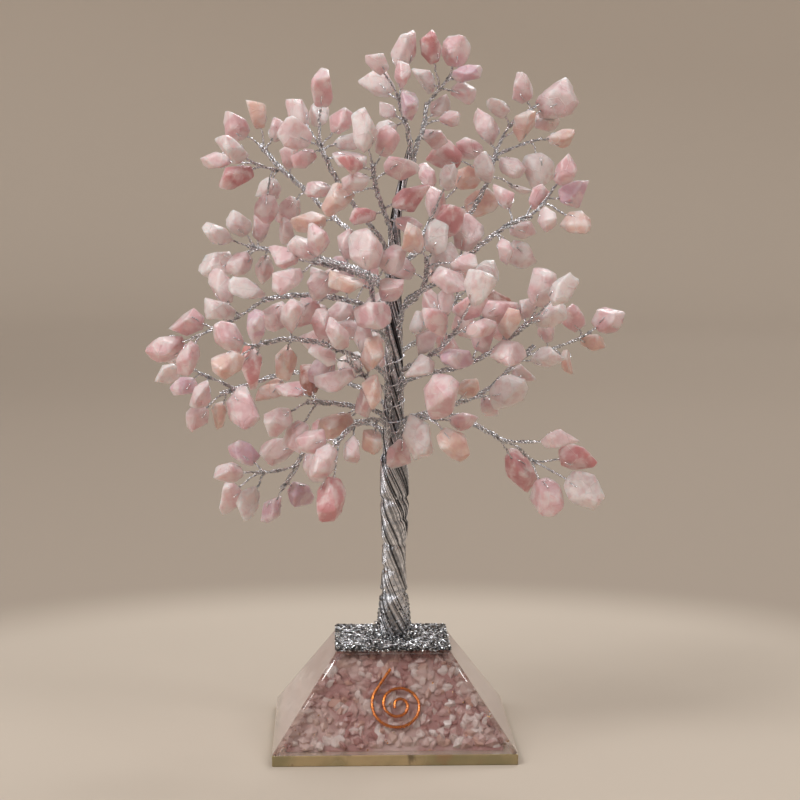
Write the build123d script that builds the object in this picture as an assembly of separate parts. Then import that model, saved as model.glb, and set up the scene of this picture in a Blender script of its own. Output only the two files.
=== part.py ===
from build123d import *
import math
import os
from typing import NamedTuple

# A wire tree with rose-quartz chips for leaves, standing in a clear cast block.
# Lengths are in millimetres. +Z is up, the front faces -Y, and the origin is the middle of the foot.

# Foot and clear block
FOOT_SIDE = 75.0
FOOT_HEIGHT = 3.4
BLOCK_TOP_SIDE = 35.0
BLOCK_HEIGHT = 28.0
BLOCK_EDGE_ROUND = 0.8

# Quartz cast into the block
FILL_CHIP = 11.0
FILL_MARGIN = 3.0
FILL_STEP = 11.4
FILL_LAYER = 9.0

# Copper spiral behind the front face
COIL_WIRE = 1.0
COIL_SIDES = 6
COIL_INSET = 1.4
COIL_RISE = 14.0
COIL_ASIDE = 1.7
COIL_START = 1.6
COIL_PITCH = 3.5
COIL_QUARTERS = 9
COIL_TAIL_RADIUS = 13.0
COIL_TAIL_TURN = 50.0
COIL_TAIL = 1.6

# Bed of trimmings on top of the block
BED_OVERHANG = 0.4
BED_HEIGHT = 1.8
BED_COLLAR = 3.0
BED_COLLAR_RISE = 3.6

# Trunk
TRUNK_SUNK = 8.0
TRUNK_ASIDE = 0.7
SHEATH_TOP = 61.0
SHEATH_FOOT_DIAMETER = 11.0
SHEATH_TOP_DIAMETER = 8.6
SHEATH_FOLD = 1.4
CORE_FOOT_DIAMETER = 8.2
FIT = 0.2

# Wires and chips of the canopy
STEM_WIDTH = 2.0
FORK_WIDTH = 1.4
TWIG_WIDTH = 0.9
TWIG_SIDES = 4
STEM_SIDES = 6
CORE_SIDES = 12
JOINT_GAP = 0.25
CHIP_GAP = 0.3
SEAT_GAP = 0.05
DEPTH_SHIFTS = (0, 3, -3, 6, -6, 9, -9, 12, -12, 15, -15, 18, -18, 22, -22)
CHIP_WIDTH = 0.80
CHIP_THICKNESS = 0.60
CHIP_KINDS = 8
FAN = 5.0
TWIG_LEAST = 2.2
TWIG_MOST = 14.0
JOIN_REACH = 4.5
END_SPREAD = 50.0
SIDE_SPREAD = 28.0
BACK_SPREAD = 115.0
BEND_SHARE = 0.42
BEND_MOST = 24.0

BLOCK_TOP = FOOT_HEIGHT + BLOCK_HEIGHT

# The tree was set out from its front view. Each place is read on the plane y = 0 with the block's top
# at READ_TOP, and a piece nearer or farther slides along its line of sight from the eye.
READ_TOP = 31.4
EYE = Vector(-19.5, -699.7, 186.2)

# Trunk core above the sheath: height over the block's top, lean to the right, diameter
CORE_STATIONS = (
    (62.0, 0.7, 7.0),
    (92.0, 0.7, 5.8),
    (118.0, 0.7, 4.8),
    (131.0, 0.9, 3.8),
    (141.0, 2.4, 3.0),
    (150.0, 4.8, 2.6),
    (158.0, 6.3, 2.4),
)


class Limb(NamedTuple):
    """One limb: where it leaves the trunk, the run of its stem, its forks and its chips.

    root is a height on the trunk. Stem and fork points are (x, y, z). A chip is (x, z, length).
    """

    name: str
    root: float
    stem: tuple
    forks: tuple
    chips: tuple


LIMBS = (
    Limb(
        "crown_left", 189.4,
        ((4.0, -3, 195.5), (2.0, -5, 203.5)),
        (),
        ((-4.5, 213.5, 7), (3.5, 217.5, 11), (-4.5, 207, 9), (3.5, 209, 7),
         (5.5, 200, 9), (-1.5, 198.5, 6.5), (-2.0, 192.0, 7)),
    ),
    Limb(
        "crown_right", 184.0,
        ((10.0, 5, 192.0), (11.0, 7, 201.0)),
        (((11.0, 7, 199.0), (14.5, 8, 204.5), (18.5, 8, 209.5)),),
        ((12, 218, 9), (19.5, 217, 9), (9.5, 208.5, 9), (23.5, 210, 8), (22.5, 204, 7),
         (15, 199.5, 7.5), (18.5, 196, 7), (13, 189.5, 9)),
    ),
    Limb(
        "upper_right", 150.0,
        ((13.0, 12, 157.0), (24.0, 20, 165.0), (30.0, 24, 176.0), (33.0, 27, 187.0)),
        (((33.0, 27, 186.0), (40.0, 24, 188.0), (47.0, 22, 190.0)),
         ((33.0, 27, 187.5), (37.0, 30, 195.0), (46.0, 32, 200.5))),
        ((17, 185, 10), (24, 186.5, 8), (29.5, 193.5, 11), (33, 200.5, 8), (40, 205.5, 8.5),
         (52, 201.5, 13), (42, 194.5, 8.5), (48, 195, 9), (53, 190, 8.5), (37.5, 181, 9),
         (46, 179.5, 11), (40, 174.5, 6.5), (29, 180, 9.5)),
    ),
    Limb(
        "right_high", 138.5,
        ((10.0, -6, 142.5), (19.0, -11, 148.0), (27.0, -14, 156.0), (36.0, -16, 163.0), (44.0, -16, 166.0)),
        (((43.0, -16, 165.5), (48.0, -14, 170.0), (51.0, -13, 175.0)),),
        ((54.5, 180, 8.5), (57.5, 172.5, 9), (46, 172, 8), (49, 164.5, 8), (41, 161.5, 8), (40.5, 153.5, 9),
         (35.5, 155, 7), (24, 160.5, 10), (35, 172.5, 8.5), (58.5, 163.5, 8)),
    ),
    Limb(
        "right_mid", 113.0,
        ((11.0, -13, 116.5), (21.0, -23, 118.0), (30.0, -29, 122.0), (38.0, -32, 128.0), (44.0, -32, 133.0)),
        (),
        ((36.5, 122.5, 11), (43, 137.5, 8.5), (48, 143, 10), (53.5, 142, 9), (29, 127.5, 7.5),
         (50.5, 134.5, 9.5), (37, 132.5, 9)),
    ),
    Limb(
        "right_low", 101.0,
        ((12.0, 11, 104.0), (22.0, 18, 107.0), (31.0, 20, 111.0), (37.0, 20, 117.5), (45.0, 18, 125.0)),
        (((42.0, 20, 122.0), (51.0, 26, 124.0), (58.0, 31, 126.5), (63.0, 33, 129.5)),),
        ((49, 121.5, 9.5), (56.5, 133.5, 9), (48.5, 130.5, 8), (55.5, 119.5, 7), (68.5, 133.5, 10),
         (63.5, 125.5, 8), (37, 110.5, 11.5), (41.5, 116, 7), (31, 105.5, 8), (24.5, 112.5, 8)),
    ),
    Limb(
        "right_drooping", 97.5,
        ((12.0, -5, 103.0), (20.0, -9, 103.5), (28.0, -12, 99.0), (36.0, -13, 94.5)),
        (((35.0, -13, 95.0), (41.0, -17, 94.5), (46.0, -20, 94.4)),
         ((35.5, -13, 94.8), (41.0, -10, 91.0), (46.0, -9, 87.5))),
        ((53.5, 95, 10.5), (59, 90, 10), (61.5, 79, 11.5), (49.5, 76.5, 11), (41, 85, 12)),
    ),
    Limb(
        "front_low_right", 99.0,
        ((6.0, -12, 103.0), (11.0, -22, 103.5), (14.0, -30, 101.0)),
        (),
        ((8.5, 95.5, 12.5), (20, 94, 10), (2.5, 90.5, 8.5), (15.5, 109, 13), (23, 101, 8)),
    ),
    Limb(
        "right_inner", 136.0,
        ((7.0, -10, 139.0), (11.0, -18, 145.0), (11.0, -24, 153.0)),
        (),
        ((6, 158.5, 9), (14.5, 159, 9), (17, 152, 9), (23.5, 151.5, 8), (18, 164.5, 9), (3, 150, 8),
         (18, 145.5, 11)),
    ),
    Limb(
        "front_right", 117.0,
        ((9.0, -14, 120.0), (15.0, -28, 124.0), (20.5, -38, 130.0)),
        (),
        ((14, 133, 9.5), (25, 138, 9), (34, 137, 10), (11, 127.5, 9.5), (20, 121, 9), (17, 139.5, 8),
         (27.5, 144, 11), (28, 130.5, 8), (9, 118.5, 9.5)),
    ),
    Limb(
        "back_right", 122.0,
        ((9.0, 17, 127.0), (16.0, 34, 133.0), (21.0, 46, 141.0)),
        (),
        ((23, 150, 9), (30, 147.5, 9), (31, 139, 9.5), (15, 148, 9), (12, 139, 9), (23, 131, 9),
         (33, 131, 8.5), (8, 132, 8.5), (18, 125, 8)),
    ),
    Limb(
        "upper_left_outer", 150.5,
        ((-9.0, 9, 158.0), (-19.0, 15, 166.0), (-27.0, 18, 174.0), (-35.0, 21, 181.0), (-41.0, 24, 188.0)),
        (((-33.0, 21, 179.0), (-39.0, 12, 180.5), (-44.0, 6, 183.0)),),
        ((-41.5, 198, 9), (-49, 193.5, 9), (-35.5, 193, 8), (-50, 186.5, 10), (-49, 178.5, 10),
         (-38.5, 174, 7.5), (-31.5, 184.5, 8), (-39.5, 168, 8), (-32, 167.5, 9), (-26, 164, 9.5),
         (-54.5, 183, 8)),
    ),
    Limb(
        "upper_left_inner", 154.0,
        ((-7.0, -7, 163.0), (-14.0, -12, 172.0), (-20.0, -14, 182.0), (-23.0, -14, 190.0)),
        (),
        ((-21.5, 205.5, 10), (-29, 198, 9), (-22.5, 197.5, 8), (-16, 195, 7.5), (-30, 191, 9.5),
         (-27.5, 183.5, 8), (-13, 183.5, 10), (-23, 174, 7.5), (-13.5, 189, 8)),
    ),
    Limb(
        "front_top", 158.0,
        ((-2.0, -11, 166.0), (-5.0, -23, 174.0), (-6.0, -31, 182.0)),
        (),
        ((-8.5, 192.5, 10), (-1.5, 189, 8), (3, 181.5, 9), (-17, 171, 9.5), (-11, 176.5, 8),
         (-9.5, 166, 8), (6.5, 171, 11), (5.5, 163, 7.5), (-13, 182, 8)),
    ),
    Limb(
        "back_top", 143.0,
        ((4.0, 13, 150.0), (9.0, 24, 158.0), (14.0, 32, 168.0)),
        (),
        ((13.5, 170, 8.5), (24, 178.5, 9.5), (18, 178, 8), (28, 170, 9.5), (23, 164.5, 8.5), (11, 178, 8)),
    ),
    Limb(
        "left_high", 141.0,
        ((-9.0, -12, 147.0), (-17.0, -21, 150.0), (-25.0, -27, 151.5)),
        (),
        ((-23, 158.5, 9.5), (-27.5, 156, 8), (-34, 153, 9), (-33, 146, 9.5), (-23, 144, 8), (-14, 157, 8.5)),
    ),
    Limb(
        "left_far", 144.0,
        ((-12.0, 11, 150.0), (-23.0, 21, 153.0), (-34.0, 27, 154.5), (-45.0, 28, 156.5)),
        (),
        ((-55, 160, 9.5), (-48, 163.5, 8), (-41, 162, 8.5), (-47.5, 151, 8), (-54.5, 149.5, 10.5), (-40, 149, 8.5),
         (-33, 161, 8)),
    ),
    Limb(
        "left_mid", 134.0,
        ((-9.0, -4, 138.5), (-19.0, -8, 140.5), (-30.0, -10, 141.5), (-41.0, -10, 139.5)),
        (((-38.0, -10, 140.2), (-47.0, -8, 134.5), (-56.0, -6, 130.5), (-63.0, -5, 127.5)),),
        ((-19, 146, 9), (-16, 134.5, 9.5), (-53.5, 144, 10), (-46, 143, 10), (-36.5, 134.5, 8.5), (-27, 135.5, 9.5),
         (-54, 136.5, 9), (-64.5, 133, 9.5), (-71, 124.5, 11.5), (-64, 121.5, 9)),
    ),
    Limb(
        "front_left", 124.0,
        ((-4.0, -14, 130.0), (-6.0, -26, 138.0), (-6.5, -32, 146.0)),
        (),
        ((-6, 134.5, 12), (-8, 155.5, 11), (0, 153, 8.5), (-14.5, 145, 8.5), (0, 143.5, 8.5), (-14, 130, 8.5)),
    ),
    Limb(
        "left_low_mid", 115.0,
        ((-9.0, -14, 120.5), (-20.0, -25, 125.5), (-32.0, -31, 128.0), (-44.0, -33, 125.0)),
        (),
        ((-42.5, 132, 9.5), (-51.5, 128, 9), (-44, 117.5, 10), (-31, 135, 10.5), (-52, 119.5, 10), (-33.5, 119.5, 9),
         (-22, 131.5, 8.5), (-22, 117, 8.5)),
    ),
    Limb(
        "left_outer", 106.0,
        ((-10.0, 14, 112.0), (-22.0, 24, 116.5), (-34.0, 29, 117.0), (-45.0, 31, 113.0), (-54.0, 31, 110.0)),
        (((-50.0, 31, 111.5), (-57.0, 27, 115.0), (-63.0, 26, 118.0)),),
        ((-60, 109, 9.5), (-61.5, 102.5, 8), (-54.5, 103.5, 8), (-46, 104.5, 12), (-38, 110.5, 9.5), (-65, 112, 8.5),
         (-71, 116.5, 9), (-69, 122.5, 8.5), (-45, 121.5, 8.5)),
    ),
    Limb(
        "left_low", 103.0,
        ((-9.0, -10, 105.5), (-18.0, -17, 107.0), (-27.0, -20, 107.5)),
        (),
        ((-36, 101.5, 9), (-26, 115, 8.5), (-31.5, 111.5, 8.5), (-30, 96.5, 8.5), (-17.5, 100.5, 9.5),
         (-22, 98, 8)),
    ),
    Limb(
        "left_drooping", 98.5,
        ((-10.0, 7, 101.5), (-20.0, 14, 100.5), (-27.0, 18, 95.0), (-30.0, 18, 86.5), (-35.0, 18, 79.5)),
        (((-31.0, 18, 85.0), (-38.0, 14, 85.0), (-43.0, 13, 85.0)),),
        ((-24.5, 87, 10), (-29, 78.5, 10), (-38, 72.5, 9.5), (-45.5, 75, 10), (-52, 77, 9), (-47, 91.5, 9),
         (-51.5, 85, 9), (-36, 92, 10)),
    ),
    Limb(
        "front_low_left", 100.0,
        ((-6.0, -15, 102.0), (-13.0, -27, 99.5), (-18.0, -34, 94.0)),
        (),
        ((-22, 87.5, 11), (-25.5, 94.5, 8), (-12.5, 92, 7.5), (-19.5, 76, 12), (-6, 95, 9), (-9, 107, 9)),
    ),
    Limb(
        "front_mid_left", 109.0,
        ((-5.0, -15, 113.0), (-10.0, -27, 116.5), (-14.0, -36, 121.0)),
        (),
        ((-6, 111, 9), (-18, 114, 9.5), (-17, 129, 9), (-6, 122, 9.5), (-22.5, 122, 8.5), (-9, 128, 8)),
    ),
    Limb(
        "back_left", 119.0,
        ((-5.0, 17, 125.0), (-10.0, 32, 131.0), (-14.0, 46, 139.0)),
        (),
        ((-16, 149, 9), (-23, 145, 9), (-25, 136, 9), (-7, 148, 9), (-4, 138, 9), (-16, 129, 9), (-6, 127, 8.5),
         (-24, 127, 8.5), (-3, 118, 8.5), (-13, 119, 8.5)),
    ),
)


def sighted(x: float, y: float, z: float) -> Vector:
    """Place a point that was read at (x, z) on the mid-plane at the depth y."""
    read = Vector(x, 0, z + BLOCK_TOP - READ_TOP)
    eye = EYE + Vector(0, 0, BLOCK_TOP - READ_TOP)
    return eye + (read - eye) * (1 - y / EYE.Y)


def prism(start: Vector, end: Vector, width: float) -> Part:
    """Straight twisted pair between two points."""
    section = Plane(start, z_dir=end - start) * RegularPolygon(width / 2, TWIG_SIDES)
    return extrude(section, (end - start).length)


def bent_path(points: list[Vector]) -> Wire:
    """Straight runs joined by tangent arcs that are as large as the runs allow."""
    radii = []
    for before, here, after in zip(points, points[1:], points[2:]):
        turn = math.radians((here - before).get_angle(after - here))
        room = BEND_SHARE * min((here - before).length, (after - here).length)
        radii.append(min(BEND_MOST, room / math.tan(max(turn, 0.02) / 2)))
    if not radii:
        return Wire([Edge.make_line(points[0], points[1])])
    return FilletPolyline(*points, radius=radii).wire()


def bent_wire(path: Wire, width: float) -> Part:
    """Bundle of wires swept along a path."""
    return sweep(Plane(path @ 0, z_dir=path % 0) * RegularPolygon(width / 2, STEM_SIDES), path=path)


def chip(root: Vector, along: Vector, length: float, kind: int) -> Part:
    """Tumbled chip with a flat drilled end at its root, lengthwise along a direction."""
    rings = ((0.0, 0.52, 3), (0.28, 0.98, 4), (0.70, 0.94, 4), (1.0, 0.50, 3))
    points = []
    for level, (share, girth, count) in enumerate(rings):
        for index in range(count):
            angle = math.tau * index / count + 0.9 * level + 0.8 * kind
            wave = math.sin(2.3 * index + 1.7 * level + 1.3 * kind)
            across = girth * length / 2 * (0.94 + 0.06 * wave)
            height = length * share * (1 - 0.03 * level * (wave > 0.3))
            across_x = across * CHIP_WIDTH * math.cos(angle)
            across_y = across * CHIP_THICKNESS * math.sin(angle)
            points.append((across_x, across_y, height))
    return Plane(root, z_dir=along) * ConvexPolyhedron(points)


def closest(p: Vector, q: Vector, r: Vector, s: Vector) -> float:
    """Least distance between the segments p-q and r-s."""
    u, v, w = q - p, s - r, p - r
    a, b, c, d, e = u.dot(u), u.dot(v), v.dot(v), u.dot(w), v.dot(w)
    spread = a * c - b * b
    along = min(1.0, max(0.0, (b * e - c * d) / spread)) if spread > 1e-9 else 0.0
    other = min(1.0, max(0.0, (b * along + e) / c)) if c > 1e-9 else 0.0
    along = min(1.0, max(0.0, (b * other - d) / a)) if a > 1e-9 else 0.0
    return (w + u * along - v * other).length


class Span:
    """Round-ended space that a piece takes up, and the piece it belongs to."""

    def __init__(self, start: Vector, end: Vector, radius: float, owner: str) -> None:
        self.start = start
        self.end = end
        self.radius = radius
        self.owner = owner
        self.middle = tuple((start + end) * 0.5)
        self.reach = (end - start).length / 2 + radius

    def room(self, other: "Span") -> float:
        """Clear distance to another span, or a lower bound of it where the two are far apart."""
        bound = math.dist(self.middle, other.middle) - self.reach - other.reach
        if bound > 2.0:
            return bound
        return closest(self.start, self.end, other.start, other.end) - self.radius - other.radius


class Place(NamedTuple):
    """Point on a wire where another wire can start, with the length left to the wire's end."""

    owner: str
    point: Vector
    run: Vector
    radius: float
    left: float

    def start(self, target: Vector, width: float) -> Vector | None:
        """Start of a wire toward a target, a joint's gap clear of this one, or None where it would miss it."""
        toward = (target - self.point).normalized()
        turn = self.run.get_angle(toward)
        sine = math.sin(math.radians(turn))
        cosine = math.cos(math.radians(turn))
        if self.left == 0:
            lift = (JOINT_GAP + width / 2 * sine) / max(cosine, 0.1)
            return self.point + toward * lift if turn < END_SPREAD else None
        if not SIDE_SPREAD <= turn <= BACK_SPREAD:
            return None
        lift = (self.radius + JOINT_GAP + width / 2 * abs(cosine)) / sine
        return self.point + toward * lift if lift * cosine <= self.left else None


def trunk_place(height: float) -> Place:
    """Place on the trunk core at a height that was read over the floor."""
    over = height - READ_TOP
    stations = ((-TRUNK_SUNK, TRUNK_ASIDE, CORE_FOOT_DIAMETER), *CORE_STATIONS)
    low, high = next(pair for pair in zip(stations, stations[1:]) if over <= pair[1][0])
    share = (over - low[0]) / (high[0] - low[0])
    aside = low[1] + (high[1] - low[1]) * share
    width = low[2] + (high[2] - low[2]) * share
    run = Vector(high[1] - low[1], 0, high[0] - low[0]).normalized()
    return Place("trunk", Vector(aside, 0, BLOCK_TOP + over), run, width / 2, stations[-1][0] - over)


def crowding(span: Span, spans: list[Span], skip: str = "", near: tuple = (0, 0, 0)) -> float:
    """Least clear distance from a span to the others, leaving out the part of one owner near a point."""
    own = JOIN_REACH
    return min(
        span.room(other) for other in spans if other.owner != skip or math.dist(other.middle, near) > own
    )


def fork_start(places: list[Place], route: list[Vector], width: float, spans: list[Span]) -> Vector:
    """Where a fork leaves its stem: the place nearest to the read point that lets it run clear."""
    options = []
    for place in places:
        start = place.start(route[1], width)
        if start:
            wire = Span(start, route[1], width / 2, "fork")
            room = crowding(wire, spans, place.owner, tuple(place.point))
            options.append((max(0.0, CHIP_GAP - room) * 50 + (start - route[0]).length, start))
    return min(options, key=lambda option: option[0])[1]


def grow_stems(limb: Limb, spans: list[Span]) -> tuple[list[Part], list[Place]]:
    """Main stem and forks of a limb, with the places along them where twigs can start."""
    solids = []
    places = []
    for order, points in enumerate((limb.stem, *limb.forks)):
        width = FORK_WIDTH if order else STEM_WIDTH
        owner = f"{limb.name} {order}"
        route = [sighted(*point) for point in points]
        if order == 0:
            route.insert(0, trunk_place(limb.root).start(route[0], width))
        else:
            route[0] = fork_start(places, route, width, spans)
        path = bent_path(route)
        solids.append(bent_wire(path, width))
        steps = max(3, round(path.length / 3))
        marks = [path @ (step / steps) for step in range(steps + 1)]
        for low, high in zip(marks, marks[1:]):
            spans.append(Span(low, high, width / 2, owner))
        for step in range(steps // 4, steps + 1):
            left = path.length * (steps - step) / steps
            places.append(Place(owner, marks[step], path % (step / steps), width / 2, left))
    return solids, places


def grow_chips(limb: Limb, places: list[Place], spans: list[Span]) -> tuple[list[Part], list[Part]]:
    """Twigs and chips of a limb, each chip moved in depth until it and its twig run clear."""
    twigs = []
    chips = []
    for index, (x, z, length) in enumerate(limb.chips):
        middle = sighted(x, 0, z)
        near = min(places, key=lambda place: math.hypot(place.point.X - middle.X, place.point.Z - middle.Z))
        depth = near.point.Y + FAN * (index % 3 - 1)
        best = None
        for shift in DEPTH_SHIFTS:
            centre = sighted(x, depth + shift, z)
            for place in sorted(places, key=lambda place: (place.point - centre).length)[:12]:
                start = place.start(centre, TWIG_WIDTH)
                toward = (centre - place.point).normalized()
                root = centre - toward * (length / 2)
                if start is None or (root - start).dot(toward) < TWIG_LEAST:
                    continue
                girth = length * CHIP_WIDTH / 2
                body = Span(root + toward * girth, root + toward * (length - girth), girth, "chip")
                wire = Span(start, root, TWIG_WIDTH / 2, "twig")
                room = min(crowding(body, spans), crowding(wire, spans, place.owner, tuple(place.point)))
                reach = (root - start).length
                score = min(room, CHIP_GAP) * 300 - reach * 2 - abs(shift) * 0.8
                if best is None or score > best[0]:
                    best = (score, room, start, root, toward, body, wire)
            if best and best[1] >= CHIP_GAP and 2 * best[6].reach < TWIG_MOST:
                break
        _, room, start, root, toward, body, wire = best
        if room < CHIP_GAP:
            print(f"close: {limb.name} chip {index} at {x}, {z}: {room:.2f}")
        spans.extend((body, wire))
        twigs.append(prism(start, root - toward * SEAT_GAP, TWIG_WIDTH))
        chips.append(chip(root, toward, length, (index + len(limb.name)) % CHIP_KINDS))
    return twigs, chips


def block_half(height: float) -> float:
    """Half the block's side at a height over the floor."""
    share = (height - FOOT_HEIGHT) / BLOCK_HEIGHT
    return (FOOT_SIDE + (BLOCK_TOP_SIDE - FOOT_SIDE) * share) / 2


def build_fill() -> list[Part]:
    """Chips cast into the block in square layers, clear of its faces and of the trunk's socket."""
    chips = []
    layers = int((BLOCK_HEIGHT - FILL_CHIP * CHIP_WIDTH / 2) / FILL_LAYER)
    for layer in range(layers):
        height = FOOT_HEIGHT + FILL_CHIP * CHIP_WIDTH / 2 + 1 + layer * FILL_LAYER
        reach = block_half(height + FILL_CHIP * CHIP_WIDTH / 2) - FILL_MARGIN - FILL_CHIP / 2
        count = int(2 * reach / FILL_STEP) + 1
        pitch = 2 * reach / max(1, count - 1)
        for column in range(count):
            for row in range(count):
                x = -reach + pitch * column
                y = -reach + pitch * row
                if layer > 0 and math.hypot(x - TRUNK_ASIDE, y) < CORE_FOOT_DIAMETER / 2 + FILL_CHIP / 2:
                    continue
                kind = (3 * column + 5 * row + layer) % CHIP_KINDS
                spin = math.radians(70 * column + 115 * row + 40 * layer)
                along = Vector(math.cos(spin), math.sin(spin), 0.25 * math.sin(3 * spin)).normalized()
                root = Vector(x, y, height) - along * (FILL_CHIP * 0.48)
                chips.append(chip(root, along, FILL_CHIP * 0.96, kind))
    return chips


def coil_path() -> Wire:
    """Flat spiral of quarter turns in the XY plane, clockwise and opening outwards, with straight ends."""
    start = Vector(-COIL_START, -COIL_WIRE * 1.5)
    here = Vector(-COIL_START, 0)
    edges = [Edge.make_line(start, here)]
    heading = Vector(0, 1)
    for quarter in range(COIL_QUARTERS):
        radius = COIL_START + COIL_PITCH / 4 * quarter
        edges.append(turn_right(here, heading, radius, 90))
        here, heading = edges[-1] @ 1, edges[-1] % 1
    edges.append(turn_right(here, heading, COIL_TAIL_RADIUS, COIL_TAIL_TURN))
    here, heading = edges[-1] @ 1, edges[-1] % 1
    edges.append(Edge.make_line(here, here + heading * COIL_TAIL))
    return Wire(edges)


def turn_right(start: Vector, heading: Vector, radius: float, angle: float) -> Edge:
    """Arc that turns clockwise from a heading by an angle in degrees."""
    centre = start + heading.rotate(Axis.Z, -90) * radius
    middle = centre + (start - centre).rotate(Axis.Z, -angle / 2)
    end = centre + (start - centre).rotate(Axis.Z, -angle)
    return Edge.make_three_point_arc(start, middle, end)


def build_coil() -> Part:
    """Copper spiral in the plane behind the front face, and its least gap to itself."""
    path = coil_path()
    slope = math.atan2((FOOT_SIDE - BLOCK_TOP_SIDE) / 2, BLOCK_HEIGHT)
    section = Plane(path @ 0, z_dir=path % 0) * RegularPolygon(COIL_WIRE / 2, COIL_SIDES)
    flat = sweep(section, path=path)
    count = 160
    marks = [path @ (step / count) for step in range(count + 1)]
    apart = math.ceil(COIL_WIRE * 3 / (path.length / count))
    least = min((a - b).length for i, a in enumerate(marks) for b in marks[i + apart:])
    print(f"copper spiral: length {path.length:.1f}, least gap to itself {least - COIL_WIRE:.2f}")
    height = FOOT_HEIGHT + COIL_RISE
    face = Vector(COIL_ASIDE, -block_half(height), height)
    inward = Vector(0, math.cos(slope), -math.sin(slope))
    plane = Plane(face + inward * COIL_INSET, x_dir=(1, 0, 0), z_dir=inward * -1)
    return plane * flat


def build_sheath() -> Part:
    """Outer wires of the lower trunk, thicker at the foot and folded in at the shoulder."""
    foot = SHEATH_FOOT_DIAMETER / 2
    top = SHEATH_TOP_DIAMETER / 2
    profile = Polyline((0, 0), (foot, 0), (top, SHEATH_TOP - SHEATH_FOLD))
    fold = Line(profile @ 1, (top - SHEATH_FOLD * 0.5, SHEATH_TOP))
    lid = Polyline(fold @ 1, (0, SHEATH_TOP), (0, 0))
    face = make_face(profile.edges() + fold.edges() + lid.edges())
    return Pos(TRUNK_ASIDE, 0, BLOCK_TOP) * revolve(Plane.XZ * face, Axis.Z)


def build_core(grow: float = 0.0) -> Part:
    """Inner wires of the trunk, from inside the block to the leaning leader."""
    stations = ((-TRUNK_SUNK - grow, TRUNK_ASIDE, CORE_FOOT_DIAMETER), *CORE_STATIONS)
    rings = [Pos(aside, 0, BLOCK_TOP + over) * RegularPolygon(width / 2 + grow, CORE_SIDES) for over, aside, width in stations]
    return loft(rings, ruled=True)


def build_bed(sheath: Part) -> Part:
    """Trimmings bonded to the block's top, with a low collar heaped against the trunk."""
    side = BLOCK_TOP_SIDE + 2 * BED_OVERHANG
    slab = Pos(0, 0, BLOCK_TOP) * extrude(RectangleRounded(side, side, 2.0), BED_HEIGHT, taper=18)
    collar = SHEATH_FOOT_DIAMETER / 2 + BED_COLLAR
    heap = Pos(TRUNK_ASIDE, 0, BLOCK_TOP) * Cone(
        collar, SHEATH_FOOT_DIAMETER / 2, BED_COLLAR_RISE, align=(Align.CENTER, Align.CENTER, Align.MIN)
    )
    hole = Pos(TRUNK_ASIDE, 0, BLOCK_TOP) * Cylinder(
        SHEATH_FOOT_DIAMETER / 2 + FIT, 3 * BED_COLLAR_RISE
    )
    return slab + heap - hole


def trunk_spans() -> list[Span]:
    """Space that the trunk takes up, station by station."""
    foot = Vector(TRUNK_ASIDE, 0, BLOCK_TOP)
    spans = [Span(foot, foot + Vector(0, 0, SHEATH_TOP), SHEATH_FOOT_DIAMETER / 2, "trunk")]
    for low, high in zip(CORE_STATIONS, CORE_STATIONS[1:]):
        start = Vector(low[1], 0, BLOCK_TOP + low[0])
        end = Vector(high[1], 0, BLOCK_TOP + high[0])
        spans.append(Span(start, end, low[2] / 2, "trunk"))
    return spans


def save(name: str, solids: list) -> None:
    """Write one node, made of one or more solids."""
    pieces = [solid for shape in solids for solid in shape.solids()]
    export_step(Compound(pieces), f"parts/{name}.step")
    print(f"{name}: {len(pieces)} solids")


def main() -> None:
    """Build the base, the trunk and the canopy."""
    os.makedirs("parts", exist_ok=True)
    foot = extrude(Rectangle(FOOT_SIDE, FOOT_SIDE), FOOT_HEIGHT)
    lower = Pos(0, 0, FOOT_HEIGHT) * Rectangle(FOOT_SIDE, FOOT_SIDE)
    upper = Pos(0, 0, BLOCK_TOP) * Rectangle(BLOCK_TOP_SIDE, BLOCK_TOP_SIDE)
    block = loft([lower, upper], ruled=True)
    slanted = [edge for edge in block.edges() if abs((edge % 0.5).Z) > 0.3]
    block = fillet(slanted, BLOCK_EDGE_ROUND)
    fill = build_fill()
    coil = build_coil()
    core = build_core()
    sheath = build_sheath()
    block = block - build_core(FIT) - coil - fill
    save("foot_slab", [foot])
    save("resin_pyramid", [block])
    save("quartz_fill", fill)
    save("copper_spiral", [coil])
    save("glitter_bed", [build_bed(sheath)])
    save("trunk_core", [core])
    save("trunk_sheath", [sheath - build_core(FIT)])
    spans = trunk_spans()
    stems = [grow_stems(limb, spans) for limb in LIMBS]
    for limb, (solids, places) in zip(LIMBS, stems):
        twigs, chips = grow_chips(limb, places, spans)
        save(f"limb_{limb.name}", solids + twigs)
        save(f"chips_{limb.name}", chips)


main()
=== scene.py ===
"""Looks of a wire tree with rose-quartz chips for leaves, standing in a clear cast block."""
import logging
import math
import random
from dataclasses import dataclass
from enum import Enum
from typing import ClassVar

import bmesh
import bpy
from mathutils import Matrix, Quaternion, Vector, noise
from mathutils.bvhtree import BVHTree


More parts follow.
